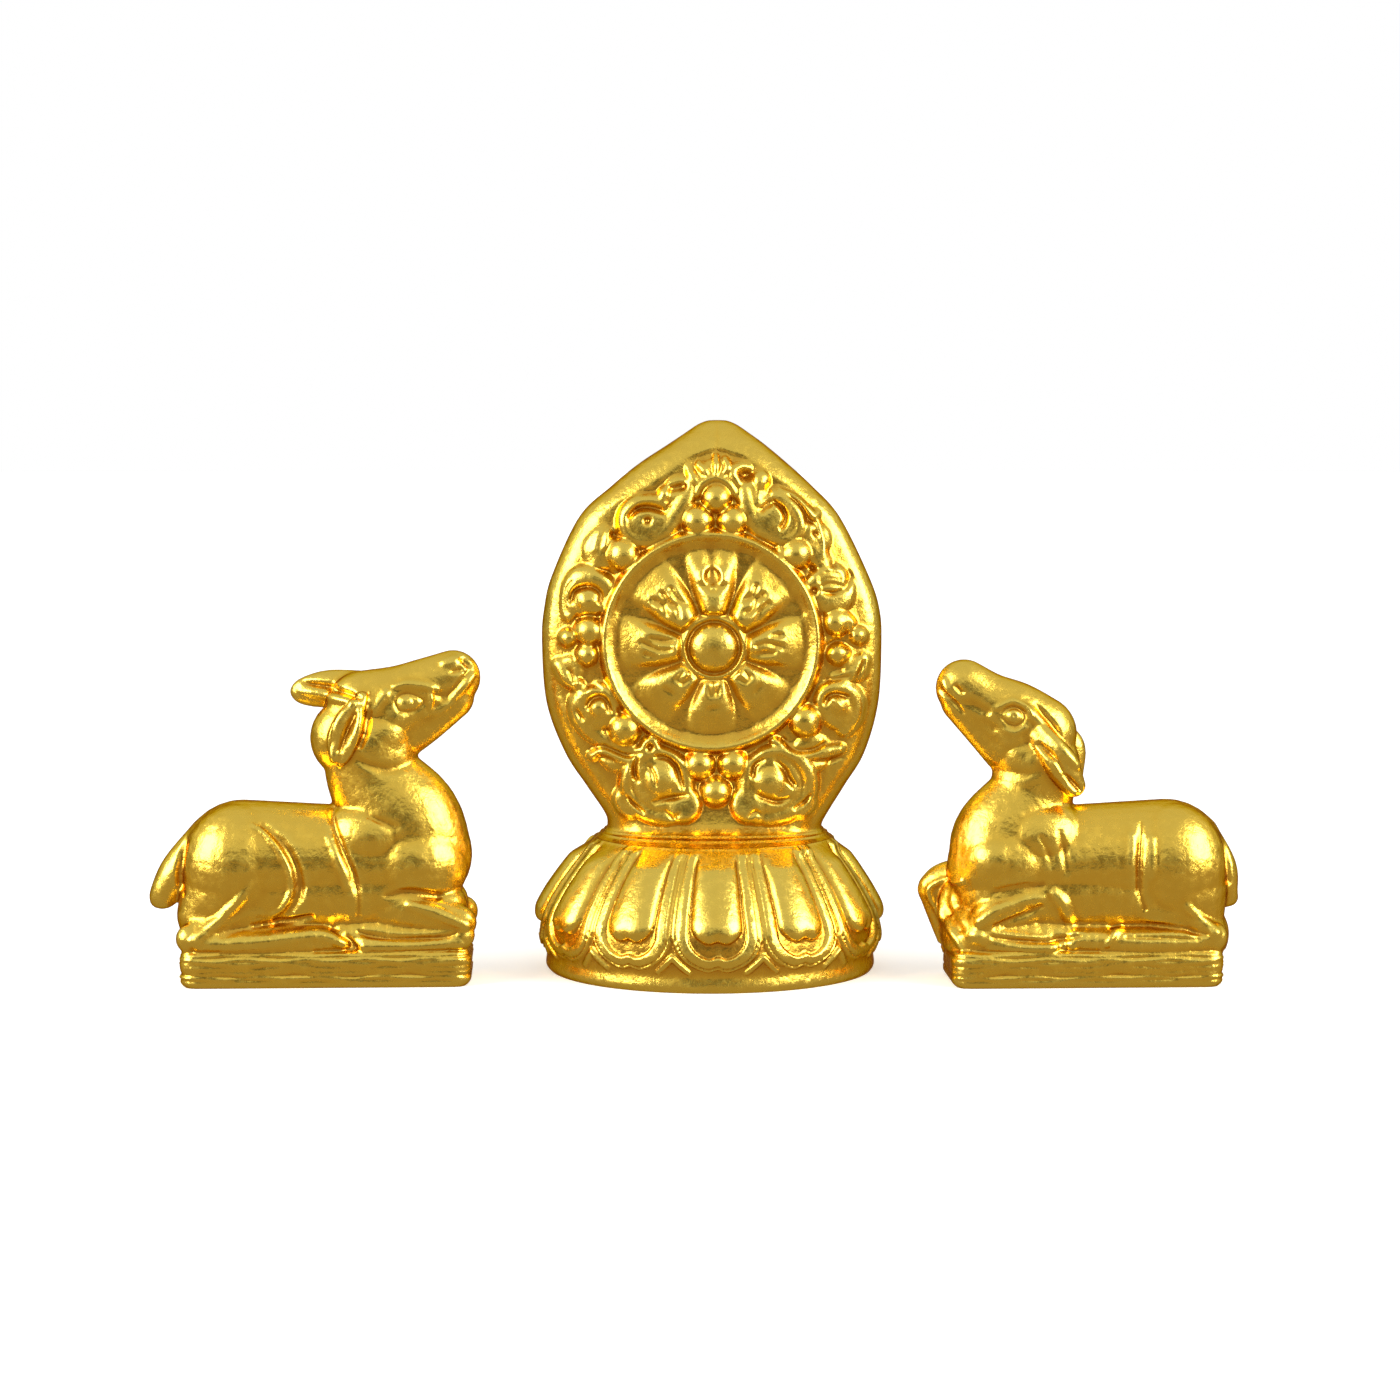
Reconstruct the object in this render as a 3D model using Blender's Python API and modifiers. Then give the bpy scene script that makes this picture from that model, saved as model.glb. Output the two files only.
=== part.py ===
"""A dharma wheel on a lotus base between two lying deer: a small gilt altar set of three castings.

Shapes are worked out in millimetres and scaled to metres when each object is made.
The set faces -Y, +X is to the viewer's right and +Z is up.
"""
import math

import bmesh
import bpy
import numpy as np
from mathutils import Euler, Matrix, Vector

# Driving dimensions, in millimetres unless the name says otherwise
METRES_PER_MM = 0.001
WHEEL_X = 2.1
DISC_HEIGHT = 43.4
DISC_RADIUS = 14.6
BASE_RADIUS = 22.0
PETAL_COUNT = 12
PETAL_TURN_DEG = 2.4
SPOKE_COUNT = 8
DEER_Y = -10.8
LEFT_DEER_X = -48.2
RIGHT_DEER_X = 50.7
DEER_YAW_DEG = 2.5
LEFT_PLINTH_ENDS = (-18.6, 19.2)
RIGHT_PLINTH_ENDS = (-17.6, 18.0)
PLINTH_HEIGHT = 4.9
PLINTH_DEPTH = 14.4
LEFT_CHEST = 18.9
RIGHT_CHEST = 17.4
LEFT_KNEE = 19.6
RIGHT_KNEE = 15.6
LEFT_TAIL_TIP = -22.9
RIGHT_TAIL_TIP = -20.4

# Mesh densities
WHEEL_ROWS = 150
WHEEL_COLUMNS = 150
ROUTE_SAMPLES = 900
OUTLINE_SAMPLES = 361
WHEEL_TRIANGLES = 4600
DEER_TRIANGLES = 2500
DEER_VOXEL = 0.45

# The underside is sliced off flat this far up, so that every casting stands on a true plane
FLAT_CUT = 0.25
CUT_TOLERANCE = 0.02

GOLD_COLOUR = (0.72, 0.45, 0.09, 1.0)
COLLECTION_NAME = "dharma_wheel_with_deer"


def clear_scene():
    for item in list(bpy.data.objects):
        bpy.data.objects.remove(item, do_unlink=True)


def gold_leaf():
    material = bpy.data.materials.new("gold_leaf")
    material.use_nodes = True
    shader = material.node_tree.nodes["Principled BSDF"]
    shader.inputs["Base Color"].default_value = GOLD_COLOUR
    shader.inputs["Metallic"].default_value = 1.0
    shader.inputs["Roughness"].default_value = 0.3
    material.diffuse_color = GOLD_COLOUR
    return material


def smooth_step(low, high, value):
    t = np.clip((value - low) / (high - low), 0.0, 1.0)
    return t * t * (3.0 - 2.0 * t)


def through(points, samples):
    """A smooth route through rows of numbers: a Catmull-Rom curve with natural ends."""
    rows = np.array(points, dtype=float)
    first = 2.0 * rows[0] - rows[1]
    last = 2.0 * rows[-1] - rows[-2]
    rows = np.vstack([first, rows, last])
    out = []
    for place in np.linspace(0.0, len(points) - 1.0, samples):
        i = min(int(place), len(points) - 2)
        t = place - i
        a, b, c, d = rows[i : i + 4]
        out.append(
            0.5
            * (2.0 * b + (c - a) * t + (2.0 * a - 5.0 * b + 4.0 * c - d) * t**2
               + (3.0 * b - a - 3.0 * c + d) * t**3)
        )
    return np.array(out)


def coordinates(mesh):
    flat = np.empty(len(mesh.vertices) * 3)
    mesh.vertices.foreach_get("co", flat)
    return flat.reshape(-1, 3)


def set_coordinates(mesh, points):
    mesh.vertices.foreach_set("co", points.ravel())
    mesh.update()


def baked(mesh, kind, **settings):
    """The mesh as one modifier of the given kind leaves it."""
    holder = bpy.data.objects.new("holder", mesh)
    bpy.context.scene.collection.objects.link(holder)
    modifier = holder.modifiers.new(kind.lower(), kind)
    for name, value in settings.items():
        setattr(modifier, name, value)
    graph = bpy.context.evaluated_depsgraph_get()
    result = bpy.data.meshes.new_from_object(holder.evaluated_get(graph))
    bpy.data.objects.remove(holder, do_unlink=True)
    return result


def finish_casting(name, mesh, triangles, place, yaw_deg, collection, material):
    """Thins the mesh, cuts its underside flat at the ground and stands it in its place."""
    mesh.calc_loop_triangles()
    thinned = baked(mesh, "DECIMATE", ratio=triangles / len(mesh.loop_triangles))
    bm = bmesh.new()
    bm.from_mesh(thinned)
    bmesh.ops.triangulate(bm, faces=bm.faces)
    everything = bm.verts[:] + bm.edges[:] + bm.faces[:]
    cut = bmesh.ops.bisect_plane(
        bm, geom=everything, dist=CUT_TOLERANCE, plane_co=(0, 0, FLAT_CUT), plane_no=(0, 0, 1),
        clear_inner=True,
    )
    for item in cut["geom_cut"]:
        if isinstance(item, bmesh.types.BMVert):
            item.co.z = FLAT_CUT
    rim = [edge for edge in cut["geom_cut"] if isinstance(edge, bmesh.types.BMEdge)]
    bmesh.ops.triangle_fill(bm, edges=rim, use_beauty=True, use_dissolve=False)
    bmesh.ops.recalc_face_normals(bm, faces=bm.faces)
    bmesh.ops.translate(bm, verts=bm.verts, vec=(0, 0, -FLAT_CUT))
    bmesh.ops.scale(bm, verts=bm.verts, vec=(METRES_PER_MM,) * 3)
    casting = bpy.data.meshes.new(name)
    bm.to_mesh(casting)
    bm.free()
    casting.shade_smooth()
    casting.materials.append(material)
    body = bpy.data.objects.new(name, casting)
    body.location = Vector(place) * METRES_PER_MM
    body.rotation_euler = Euler((0, 0, math.radians(yaw_deg)))
    collection.objects.link(body)
    return body


# Stations of the wheel casting from the ground up. Each row: height, half width, half depth in
# front, half depth behind, squareness of the section, and how far its middle stands to the right
WHEEL_STATIONS = (
    (-0.6, 20.6, 20.6, 20.6, 2.0, 0.0),
    (0.0, 21.2, 21.2, 21.2, 2.0, 0.0),
    (0.9, 21.9, 21.9, 21.9, 2.0, -0.1),
    (2.4, 21.8, 21.8, 21.8, 2.0, -0.1),
    (3.4, 22.0, 22.0, 22.0, 2.0, -0.1),
    (5.2, 22.4, 22.4, 22.4, 2.0, -0.1),
    (8.0, 22.0, 22.0, 22.0, 2.0, -0.2),
    (11.0, 20.5, 20.5, 20.5, 2.0, -0.2),
    (14.0, 18.5, 18.4, 18.4, 2.0, -0.1),
    (16.0, 17.0, 16.5, 16.5, 2.0, 0.0),
    (17.5, 16.1, 14.9, 14.9, 2.0, 0.3),
    (18.3, 15.2, 11.6, 11.6, 2.1, 0.4),
    (18.8, 14.6, 9.0, 9.0, 2.3, 0.4),
    (19.6, 14.3, 8.0, 8.0, 2.5, 0.5),
    (21.2, 14.9, 7.5, 7.3, 2.8, 0.7),
    (24.8, 17.2, 7.0, 7.0, 3.1, 0.6),
    (29.2, 19.9, 6.9, 6.8, 3.4, 0.5),
    (35.8, 22.0, 6.9, 6.7, 3.6, 0.2),
    (43.8, 22.5, 6.9, 6.6, 3.6, 0.1),
    (48.3, 22.2, 6.8, 6.5, 3.5, 0.1),
    (52.8, 20.9, 6.6, 6.3, 3.4, -0.1),
    (60.4, 17.2, 6.1, 5.7, 3.2, -0.2),
    (64.4, 13.3, 5.6, 5.1, 3.0, 0.1),
    (67.4, 9.8, 4.9, 4.5, 2.8, 0.3),
    (69.9, 6.4, 3.8, 3.6, 2.5, 0.7),
    (71.5, 4.1, 2.7, 2.6, 2.2, 0.8),
    (72.5, 2.6, 1.8, 1.8, 2.0, 0.8),
    (73.0, 1.4, 1.0, 1.0, 2.0, 0.8),
    (73.1, 0.4, 0.3, 0.3, 2.0, 0.8),
)
FRONT_SHARE = 0.58
BASE_TOP = 19.0
PLAIN_EDGE_START = 0.82


def wheel_sections():
    """Rows of outline points, one section for each height, spaced evenly over the surface."""
    fine = through(WHEEL_STATIONS, ROUTE_SAMPLES)
    steps = np.hypot(np.diff(fine[:, 0]), np.diff(fine[:, 2]))
    along = np.concatenate([[0.0], np.cumsum(steps)])
    wanted = np.linspace(0.0, along[-1], WHEEL_ROWS)
    rows = [np.interp(wanted, along, fine[:, column]) for column in range(6)]
    return np.array(rows).T


def section_points(half_width, front, behind, squareness):
    """One closed section, its points shared out by length, with more of them in front."""
    angles = np.linspace(0.0, math.pi, OUTLINE_SAMPLES)
    power = 2.0 / squareness
    across = -half_width * np.sign(np.cos(angles)) * np.abs(np.cos(angles)) ** power
    deep = np.abs(np.sin(angles)) ** power
    halves = []
    front_columns = int(WHEEL_COLUMNS * FRONT_SHARE)
    back_columns = WHEEL_COLUMNS - front_columns
    for depth, count, direction in ((-front, front_columns, 1), (behind, back_columns, -1)):
        x = across * direction
        y = deep * depth
        length = np.concatenate([[0.0], np.cumsum(np.hypot(np.diff(x), np.diff(y)))])
        wanted = np.linspace(0.0, length[-1], count + 1)[:-1]
        spaced = [np.interp(wanted, length, x), np.interp(wanted, length, y)]
        halves.append(np.column_stack(spaced))
    return np.vstack(halves)


# Petals of the base: half width, heights where the lobe and its rim begin, the heights between
# which both die into the shoulder, and how far each stands out
HALF_PETAL = 3.3
PETAL_FOOT = 6.2
PETAL_RIM_FOOT = 3.2
PETAL_FADE = (18.2, 15.0)
PETAL_LIFT = 0.9
PETAL_RIM_LIFT = 0.55


def petal_relief(x, y, z):
    """How far the lotus base stands out beyond its turned shape."""
    angle = np.arctan2(x, -y) - math.radians(PETAL_TURN_DEG)
    pitch = 2.0 * math.pi / PETAL_COUNT
    offset = (angle + pitch / 2.0) % pitch - pitch / 2.0
    across = offset * BASE_RADIUS
    off_middle = (across / HALF_PETAL) ** 2
    lobe = np.sqrt(np.clip(1.0 - off_middle, 0.0, 1.0))
    foot = PETAL_FOOT + 1.6 * off_middle
    rim_foot = PETAL_RIM_FOOT + 1.2 * off_middle
    shoulder = smooth_step(*PETAL_FADE, z)
    run = smooth_step(foot, foot + 1.0, z)
    rim = smooth_step(rim_foot, rim_foot + 0.9, z) * smooth_step(5.1, 4.3, np.abs(across))
    return (PETAL_LIFT * lobe * run + PETAL_RIM_LIFT * rim) * shoulder


def bead(x, z, cx, cz, radius, height):
    away = ((x - cx) ** 2 + (z - cz) ** 2) / radius**2
    return height * np.sqrt(np.clip(1.0 - away, 0.0, 1.0))


def ridge(distance, half_width, height):
    return height * np.sqrt(np.clip(1.0 - (distance / half_width) ** 2, 0.0, 1.0))


# Balls of the border, given for the left half: distance from the middle, height, radius
BORDER_BALLS = (
    (0.0, 62.8, 2.0),
    (2.4, 59.5, 2.0),
    (12.1, 55.2, 1.9),
    (16.9, 49.3, 1.7),
    (17.1, 44.9, 1.9),
    (17.1, 41.8, 1.7),
    (19.6, 43.6, 1.4),
    (15.8, 34.9, 1.9),
    (12.3, 32.0, 2.1),
    (2.2, 27.3, 2.1),
    (0.0, 23.7, 2.0),
)
# Rolled leaves of the border: distance from the middle, height, radius
BORDER_SCROLLS = (
    (9.6, 60.3, 3.1),
    (7.9, 25.5, 3.4),
)


def disc_relief(away, turn):
    """The wheel itself: a raised rim, eight widening spokes and a round hub in a dished field."""
    pitch = 2.0 * math.pi / SPOKE_COUNT
    offset = (turn + pitch / 2.0) % pitch - pitch / 2.0
    across = np.abs(np.sin(offset) * away)
    half_spoke = 1.7 + 1.9 * smooth_step(4.0, 9.0, away)
    spoke = np.sqrt(np.clip(1.0 - (across / half_spoke) ** 2, 0.0, 1.0)) * smooth_step(13.0, 9.5, away)
    field = 0.5 - 0.5 * smooth_step(5.0, 12.0, away) + 1.3 * spoke
    field = np.maximum(field, ridge(away - 4.2, 0.8, 1.9))
    field = np.maximum(field, 0.8 + ridge(away, 3.4, 2.2) * (away < 3.4))
    field = np.maximum(field, ridge(away - DISC_RADIUS + 0.2, 1.0, 1.6))
    return np.where(away < DISC_RADIUS + 0.8, field, 0.0)


def wheel_relief(x, z):
    """Height of the carving on the front of the plaque."""
    away = np.hypot(x, z - DISC_HEIGHT)
    disc = disc_relief(away, np.arctan2(x, z - DISC_HEIGHT))
    border = np.zeros_like(x)
    for cx, cz, radius in BORDER_BALLS:
        border = np.maximum(border, bead(np.abs(x), z, cx, cz, radius, 0.8 * radius))
    for cx, cz, radius in BORDER_SCROLLS:
        far = np.hypot(np.abs(x) - cx, z - cz)
        border = np.maximum(border, ridge(far - 0.65 * radius, 1.1, 1.1))
        border = np.maximum(border, bead(np.abs(x), z, cx, cz, 0.35 * radius, 1.0))
    return np.maximum(disc, np.where(away > DISC_RADIUS, border, 0.0))


def wheel_casting(collection, material):
    """The turned grid is bent to the casting's sections, then the carving is raised on it."""
    bm = bmesh.new()
    rows = wheel_sections()
    column = [bm.verts.new((1.0, 0.0, height)) for height in rows[:, 0]]
    for lower, upper in zip(column, column[1:]):
        bm.edges.new((lower, upper))
    bmesh.ops.spin(
        bm, geom=bm.verts[:] + bm.edges[:], cent=(0, 0, 0), axis=(0, 0, 1), angle=math.tau,
        steps=WHEEL_COLUMNS, use_merge=True,
    )
    bm.verts.ensure_lookup_table()
    bmesh.ops.holes_fill(bm, edges=bm.edges, sides=0)
    bmesh.ops.recalc_face_normals(bm, faces=bm.faces)
    mesh = bpy.data.meshes.new("wheel_grid")
    bm.to_mesh(mesh)
    bm.free()
    points = coordinates(mesh)
    turn = np.arctan2(-points[:, 1], -points[:, 0]) % math.tau
    column_index = np.rint(turn / math.tau * WHEEL_COLUMNS).astype(int) % WHEEL_COLUMNS
    row_index = np.argmin(np.abs(points[:, 2][:, None] - rows[:, 0][None, :]), axis=1)
    sections = np.array([section_points(*row[1:5]) for row in rows])
    points[:, :2] = sections[row_index, column_index]
    x, y, z = points.T
    on_base = z < BASE_TOP
    reach = np.hypot(x, y) + 1e-6
    petals = petal_relief(x, y, z) * on_base
    carving = wheel_relief(x, z) * (y < 0.0) * ~on_base
    half_width = rows[row_index, 1]
    carving = carving * smooth_step(1.0, PLAIN_EDGE_START, np.abs(x) / half_width)
    points[:, 0] = x + x / reach * petals + rows[row_index, 5]
    points[:, 1] = y + y / reach * petals - carving
    set_coordinates(mesh, points)
    finish_casting("wheel_on_lotus_base", mesh, WHEEL_TRIANGLES, (WHEEL_X, 0, 0), 0.0, collection, material)


def ball(bm, centre, radii, pitch_deg=0.0):
    """An egg-shaped lump with its own half sizes, tipped about the Y axis."""
    one = bmesh.new()
    matrix = Matrix.Translation(centre) @ Euler((0, math.radians(pitch_deg), 0)).to_matrix().to_4x4()
    matrix = matrix @ Matrix.Diagonal((*radii, 1.0))
    bmesh.ops.create_uvsphere(one, u_segments=20, v_segments=12, radius=1.0, matrix=matrix)
    lump = bpy.data.meshes.new("lump")
    one.to_mesh(lump)
    one.free()
    bm.from_mesh(lump)
    bpy.data.meshes.remove(lump)


def limb(bm, stations, flat=1.0):
    """A tapering limb: overlapping balls along a route of rows x, y, z, radius."""
    for x, y, z, radius in through(stations, 5 * len(stations)):
        ball(bm, (x, y, z), (radius, radius * flat, radius))


def plinth(bm, rear, front):
    """A low bar with rounded corners and edges, the first shape in the mesh."""
    bmesh.ops.create_cube(bm, size=1.0)
    bmesh.ops.scale(bm, verts=bm.verts, vec=(front - rear, PLINTH_DEPTH, PLINTH_HEIGHT))
    bmesh.ops.translate(bm, verts=bm.verts, vec=((rear + front) / 2.0, 0, PLINTH_HEIGHT / 2.0))
    bmesh.ops.bevel(bm, geom=bm.edges, offset=1.6, segments=4, affect="EDGES", profile=0.5)


def deer_body(bm, rump_x, chest_x):
    """What both deer share: trunk, haunches, shoulders and folded hind legs, facing +X."""
    limb(bm, ((-10.5, 0, 15.7, 8.3), (0.0, 0, 15.6, 7.8), (10.5, 0, 15.3, 7.5)), 0.84)
    limb(bm, ((-12.0, 0, 12.3, 6.0), (0.0, 0, 12.3, 6.2), (11.0, 0, 12.3, 6.0)), 1.05)
    limb(bm, ((-14.2, 0, 6.4, 4.8), (0.0, 0, 6.2, 4.4), (14.0, 0, 6.4, 4.8)), 1.35)
    for side in (-1, 1):
        ball(bm, (-11.0, 1.4 * side, 15.3), (7.4, 6.0, 8.4))
        ball(bm, (chest_x - 7.4, 1.3 * side, 15.6), (7.2, 5.6, 6.7))
        ball(bm, (6.2, 1.5 * side, 19.2), (6.6, 5.0, 5.2))
        limb(bm, ((-12.2, 0.9 * side, 12.2, 6.4), (rump_x + 4.6, 1.6 * side, 9.2, 4.4)), 0.92)
        limb(bm, ((-8.0, 3.9 * side, 10.4, 2.6), (rump_x + 3.6, 4.6 * side, 7.2, 2.2)), 0.9)
        hoof = (2.0, 5.6 * side, 6.4, 1.4)
        limb(bm, ((rump_x + 2.3, 5.3 * side, 6.6, 1.9), (-8.0, 5.5 * side, 6.0, 1.7), hoof), 0.9)


def folded_foreleg(bm, side, knee_x):
    knee = (knee_x - 1.9, 4.8 * side, 8.5, 2.1)
    limb(bm, ((8.2, 3.2 * side, 10.6, 3.2), (12.0, 4.4 * side, 10.0, 2.6), knee), 0.9)
    limb(bm, ((knee_x - 1.8, 5.2 * side, 6.8, 1.8), (5.5, 5.5 * side, 5.7, 1.4)), 0.9)
    ball(bm, (knee_x - 4.0, 2.2 * side, 10.2), (3.0, 3.4, 3.0))


def left_deer_head(bm):
    limb(bm, ((11.7, 0, 16.8, 7.5), (10.2, 0, 21.0, 7.6), (6.6, 0, 26.4, 6.2), (5.9, 0, 31.0, 6.2)), 0.78)
    limb(bm, ((16.8, 0, 39.8, 3.6), (13.4, 0, 38.3, 4.1), (9.8, 0, 36.5, 4.9), (5.4, 0, 35.6, 5.2)), 0.74)
    limb(bm, ((16.4, 0, 37.4, 3.2), (12.8, 0, 34.3, 3.2), (9.5, 0, 32.6, 3.8)), 0.74)
    ball(bm, (3.7, 0, 32.0), (5.5, 4.3, 5.4))
    ear_tip = (-3.6, 2.8, 37.8, 1.0)
    limb(bm, ((4.6, 1.6, 38.4, 2.3), (0.6, 2.2, 38.2, 2.5), (-2.3, 2.6, 37.9, 1.9), ear_tip), 0.7)
    limb(bm, ((5.2, -3.7, 37.0, 1.3), (3.6, -4.6, 33.6, 1.9), (2.3, -4.6, 30.2, 1.1)), 0.75)


def right_deer_head(bm):
    limb(bm, ((10.4, 0, 16.6, 7.3), (10.0, 0, 18.9, 7.2), (7.2, 0, 24.2, 5.6), (6.4, 0, 28.6, 5.7)), 0.8)
    limb(bm, ((15.9, 0, 38.6, 3.7), (12.8, 0, 36.5, 4.1), (9.4, 0, 34.4, 5.0), (6.2, 0, 32.5, 5.1)), 0.75)
    limb(bm, ((15.7, 0, 37.1, 3.3), (12.5, 0, 33.7, 3.5), (9.8, 0, 31.1, 3.9)), 0.73)
    limb(bm, ((6.4, -3.6, 32.4, 1.4), (4.0, -4.7, 29.4, 2.2), (2.2, -4.4, 26.3, 1.6)), 0.75)
    limb(bm, ((4.0, 3.2, 32.8, 1.6), (1.6, 3.6, 30.6, 2.1), (1.3, 3.6, 27.0, 1.7)), 0.75)


def raised_foreleg(bm):
    """The far foreleg of the right-hand deer, lifted in front of the chest and joined to it."""
    limb(bm, ((13.5, 3.0, 13.6, 3.0), (17.6, 3.6, 12.8, 2.6), (19.0, 3.8, 11.8, 2.4)), 0.8)
    limb(bm, ((19.0, 3.8, 11.4, 2.2), (18.2, 3.8, 8.0, 1.7), (17.0, 3.8, 4.6, 1.5)), 0.8)
    ball(bm, (15.4, 1.2, 9.6), (3.6, 3.2, 4.8))


def tail(bm, tip_x):
    middle = (tip_x - 14.6) / 2.0
    tip = (tip_x + 1.3, 0, 11.0, 1.2)
    limb(bm, ((-15.2, 0, 19.4, 2.4), (middle, 0, 15.0, 2.5), (tip_x + 2.2, 0, 11.9, 2.0), tip))


def deer_casting(name, ends, chest_x, parts, place, facing, collection, material):
    """The lumps are fused into one skin, smoothed as soft wax would be, and turned to face."""
    bm = bmesh.new()
    plinth(bm, *ends)
    deer_body(bm, ends[0] - 0.7, chest_x)
    for part in parts:
        part(bm)
    if facing < 0:
        bmesh.ops.scale(bm, verts=bm.verts, vec=(-1, 1, 1))
        bmesh.ops.reverse_faces(bm, faces=bm.faces)
    mesh = bpy.data.meshes.new(name + "_lumps")
    bm.to_mesh(mesh)
    bm.free()
    fused = baked(mesh, "REMESH", mode="VOXEL", voxel_size=DEER_VOXEL)
    soft = baked(fused, "SMOOTH", factor=0.5, iterations=3)
    finish_casting(name, soft, DEER_TRIANGLES, place, DEER_YAW_DEG, collection, material)


def main():
    clear_scene()
    collection = bpy.data.collections.new(COLLECTION_NAME)
    bpy.context.scene.collection.children.link(collection)
    material = gold_leaf()
    wheel_casting(collection, material)
    left_parts = (
        left_deer_head,
        lambda bm: folded_foreleg(bm, -1, LEFT_KNEE),
        lambda bm: folded_foreleg(bm, 1, LEFT_KNEE),
        lambda bm: tail(bm, LEFT_TAIL_TIP),
    )
    deer_casting(
        "deer_left", LEFT_PLINTH_ENDS, LEFT_CHEST, left_parts, (LEFT_DEER_X, DEER_Y, 0), 1,
        collection, material,
    )
    right_parts = (
        right_deer_head,
        lambda bm: folded_foreleg(bm, -1, RIGHT_KNEE),
        raised_foreleg,
        lambda bm: tail(bm, RIGHT_TAIL_TIP),
    )
    deer_casting(
        "deer_right", RIGHT_PLINTH_ENDS, RIGHT_CHEST, right_parts, (RIGHT_DEER_X, DEER_Y, 0), -1,
        collection, material,
    )


main()
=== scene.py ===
"""A gilded dharma wheel on a lotus base between two lying deer: an altar set of three castings."""
import math

import bmesh
import bpy
import numpy as np
from mathutils import Matrix, Vector


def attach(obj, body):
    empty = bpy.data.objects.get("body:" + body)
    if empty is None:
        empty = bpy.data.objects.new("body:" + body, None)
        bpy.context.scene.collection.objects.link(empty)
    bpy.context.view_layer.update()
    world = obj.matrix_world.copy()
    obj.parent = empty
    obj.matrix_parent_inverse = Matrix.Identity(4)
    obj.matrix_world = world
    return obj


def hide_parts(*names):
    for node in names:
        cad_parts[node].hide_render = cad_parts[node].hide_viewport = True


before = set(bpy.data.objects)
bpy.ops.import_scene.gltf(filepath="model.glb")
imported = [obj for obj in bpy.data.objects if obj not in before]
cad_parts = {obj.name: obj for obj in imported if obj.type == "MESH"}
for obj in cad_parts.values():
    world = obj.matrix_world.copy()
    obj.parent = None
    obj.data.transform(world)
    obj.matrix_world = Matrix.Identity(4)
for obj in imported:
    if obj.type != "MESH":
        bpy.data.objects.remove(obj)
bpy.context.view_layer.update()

# The wheel on its lotus base.
# One casting of resin, gilded all over with gold leaf: an upright plaque with a wheel and a border
# of balls and scrolls in relief, standing on a round base of twelve petals.
METRES_PER_MM = 0.001
WHEEL_X = 2.1
FLAT_CUT = 0.25
CUT_TOLERANCE = 0.02
WHEEL_ROWS = 500
WHEEL_COLUMNS = 500
FRONT_SHARE = 0.62
STATION_SAMPLES = 2000
SECTION_SAMPLES = 361
STROKE_SAMPLES = 12
LEAF_SOFTENING = 3
WHEEL_TRIANGLES = 192000
# Each row: height, half width, half depth in front, half depth behind, squareness of the section,
# and how far its middle stands to the right, all in millimetres
WHEEL_STATIONS = (
    (-0.6, 20.6, 20.6, 20.6, 2.0, 0.0),
    (0.0, 21.2, 21.2, 21.2, 2.0, 0.0),
    (0.9, 21.9, 21.9, 21.9, 2.0, -0.1),
    (2.4, 21.8, 21.8, 21.8, 2.0, -0.1),
    (3.4, 22.0, 22.0, 22.0, 2.0, -0.1),
    (5.2, 22.4, 22.4, 22.4, 2.0, -0.1),
    (8.0, 22.0, 22.0, 22.0, 2.0, -0.2),
    (11.0, 20.5, 20.5, 20.5, 2.0, -0.2),
    (14.0, 18.5, 18.4, 18.4, 2.0, -0.1),
    (16.0, 17.0, 16.5, 16.5, 2.0, 0.0),
    (17.5, 16.1, 14.9, 14.9, 2.0, 0.3),
    (18.3, 15.2, 11.6, 11.6, 2.1, 0.4),
    (18.8, 14.6, 9.0, 9.0, 2.3, 0.4),
    (19.6, 14.3, 8.0, 8.0, 2.5, 0.5),
    (21.2, 14.9, 7.5, 7.3, 2.8, 0.7),
    (24.8, 17.2, 7.0, 7.0, 3.1, 0.6),
    (29.2, 19.9, 6.9, 6.8, 3.4, 0.5),
    (35.8, 22.0, 6.9, 6.7, 3.6, 0.2),
    (43.8, 22.5, 6.9, 6.6, 3.6, 0.1),
    (48.3, 22.2, 6.8, 6.5, 3.5, 0.1),
    (52.8, 20.9, 6.6, 6.3, 3.4, -0.1),
    (60.4, 17.2, 6.1, 5.7, 3.2, -0.2),
    (64.4, 13.3, 5.6, 5.1, 3.0, 0.1),
    (67.4, 9.8, 4.9, 4.5, 2.8, 0.3),
    (69.9, 6.4, 3.8, 3.6, 2.5, 0.7),
    (71.5, 4.1, 2.7, 2.6, 2.2, 0.8),
    (72.5, 2.6, 1.8, 1.8, 2.0, 0.8),
    (73.0, 1.4, 1.0, 1.0, 2.0, 0.8),
    (73.1, 0.4, 0.3, 0.3, 2.0, 0.8),
)


def smooth_step(low, high, value):
    t = np.clip((value - low) / (high - low), 0.0, 1.0)
    return t * t * (3.0 - 2.0 * t)


def through(points, samples):
    """A smooth route through rows of numbers."""
    rows = np.array(points, dtype=float)
    rows = np.vstack([2.0 * rows[0] - rows[1], rows, 2.0 * rows[-1] - rows[-2]])
    place = np.linspace(0.0, len(points) - 1.0, samples)
    i = np.minimum(place.astype(int), len(points) - 2)
    t = (place - i)[:, None]
    a, b, c, d = rows[i], rows[i + 1], rows[i + 2], rows[i + 3]
    curve = 2.0 * b + (c - a) * t + (2.0 * a - 5.0 * b + 4.0 * c - d) * t**2
    return 0.5 * (curve + (3.0 * b - a - 3.0 * c + d) * t**3)


def coordinates(mesh):
    flat = np.empty(len(mesh.vertices) * 3)
    mesh.vertices.foreach_get("co", flat)
    return flat.reshape(-1, 3)


def set_coordinates(mesh, points):
    mesh.vertices.foreach_set("co", points.ravel())
    mesh.update()


def point_normals(mesh):
    flat = np.empty(len(mesh.vertices) * 3)
    mesh.vertex_normals.foreach_get("vector", flat)
    return flat.reshape(-1, 3)


def as_mesh(bm, name):
    mesh = bpy.data.meshes.new(name)
    bm.to_mesh(mesh)
    bm.free()
    return mesh


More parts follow.
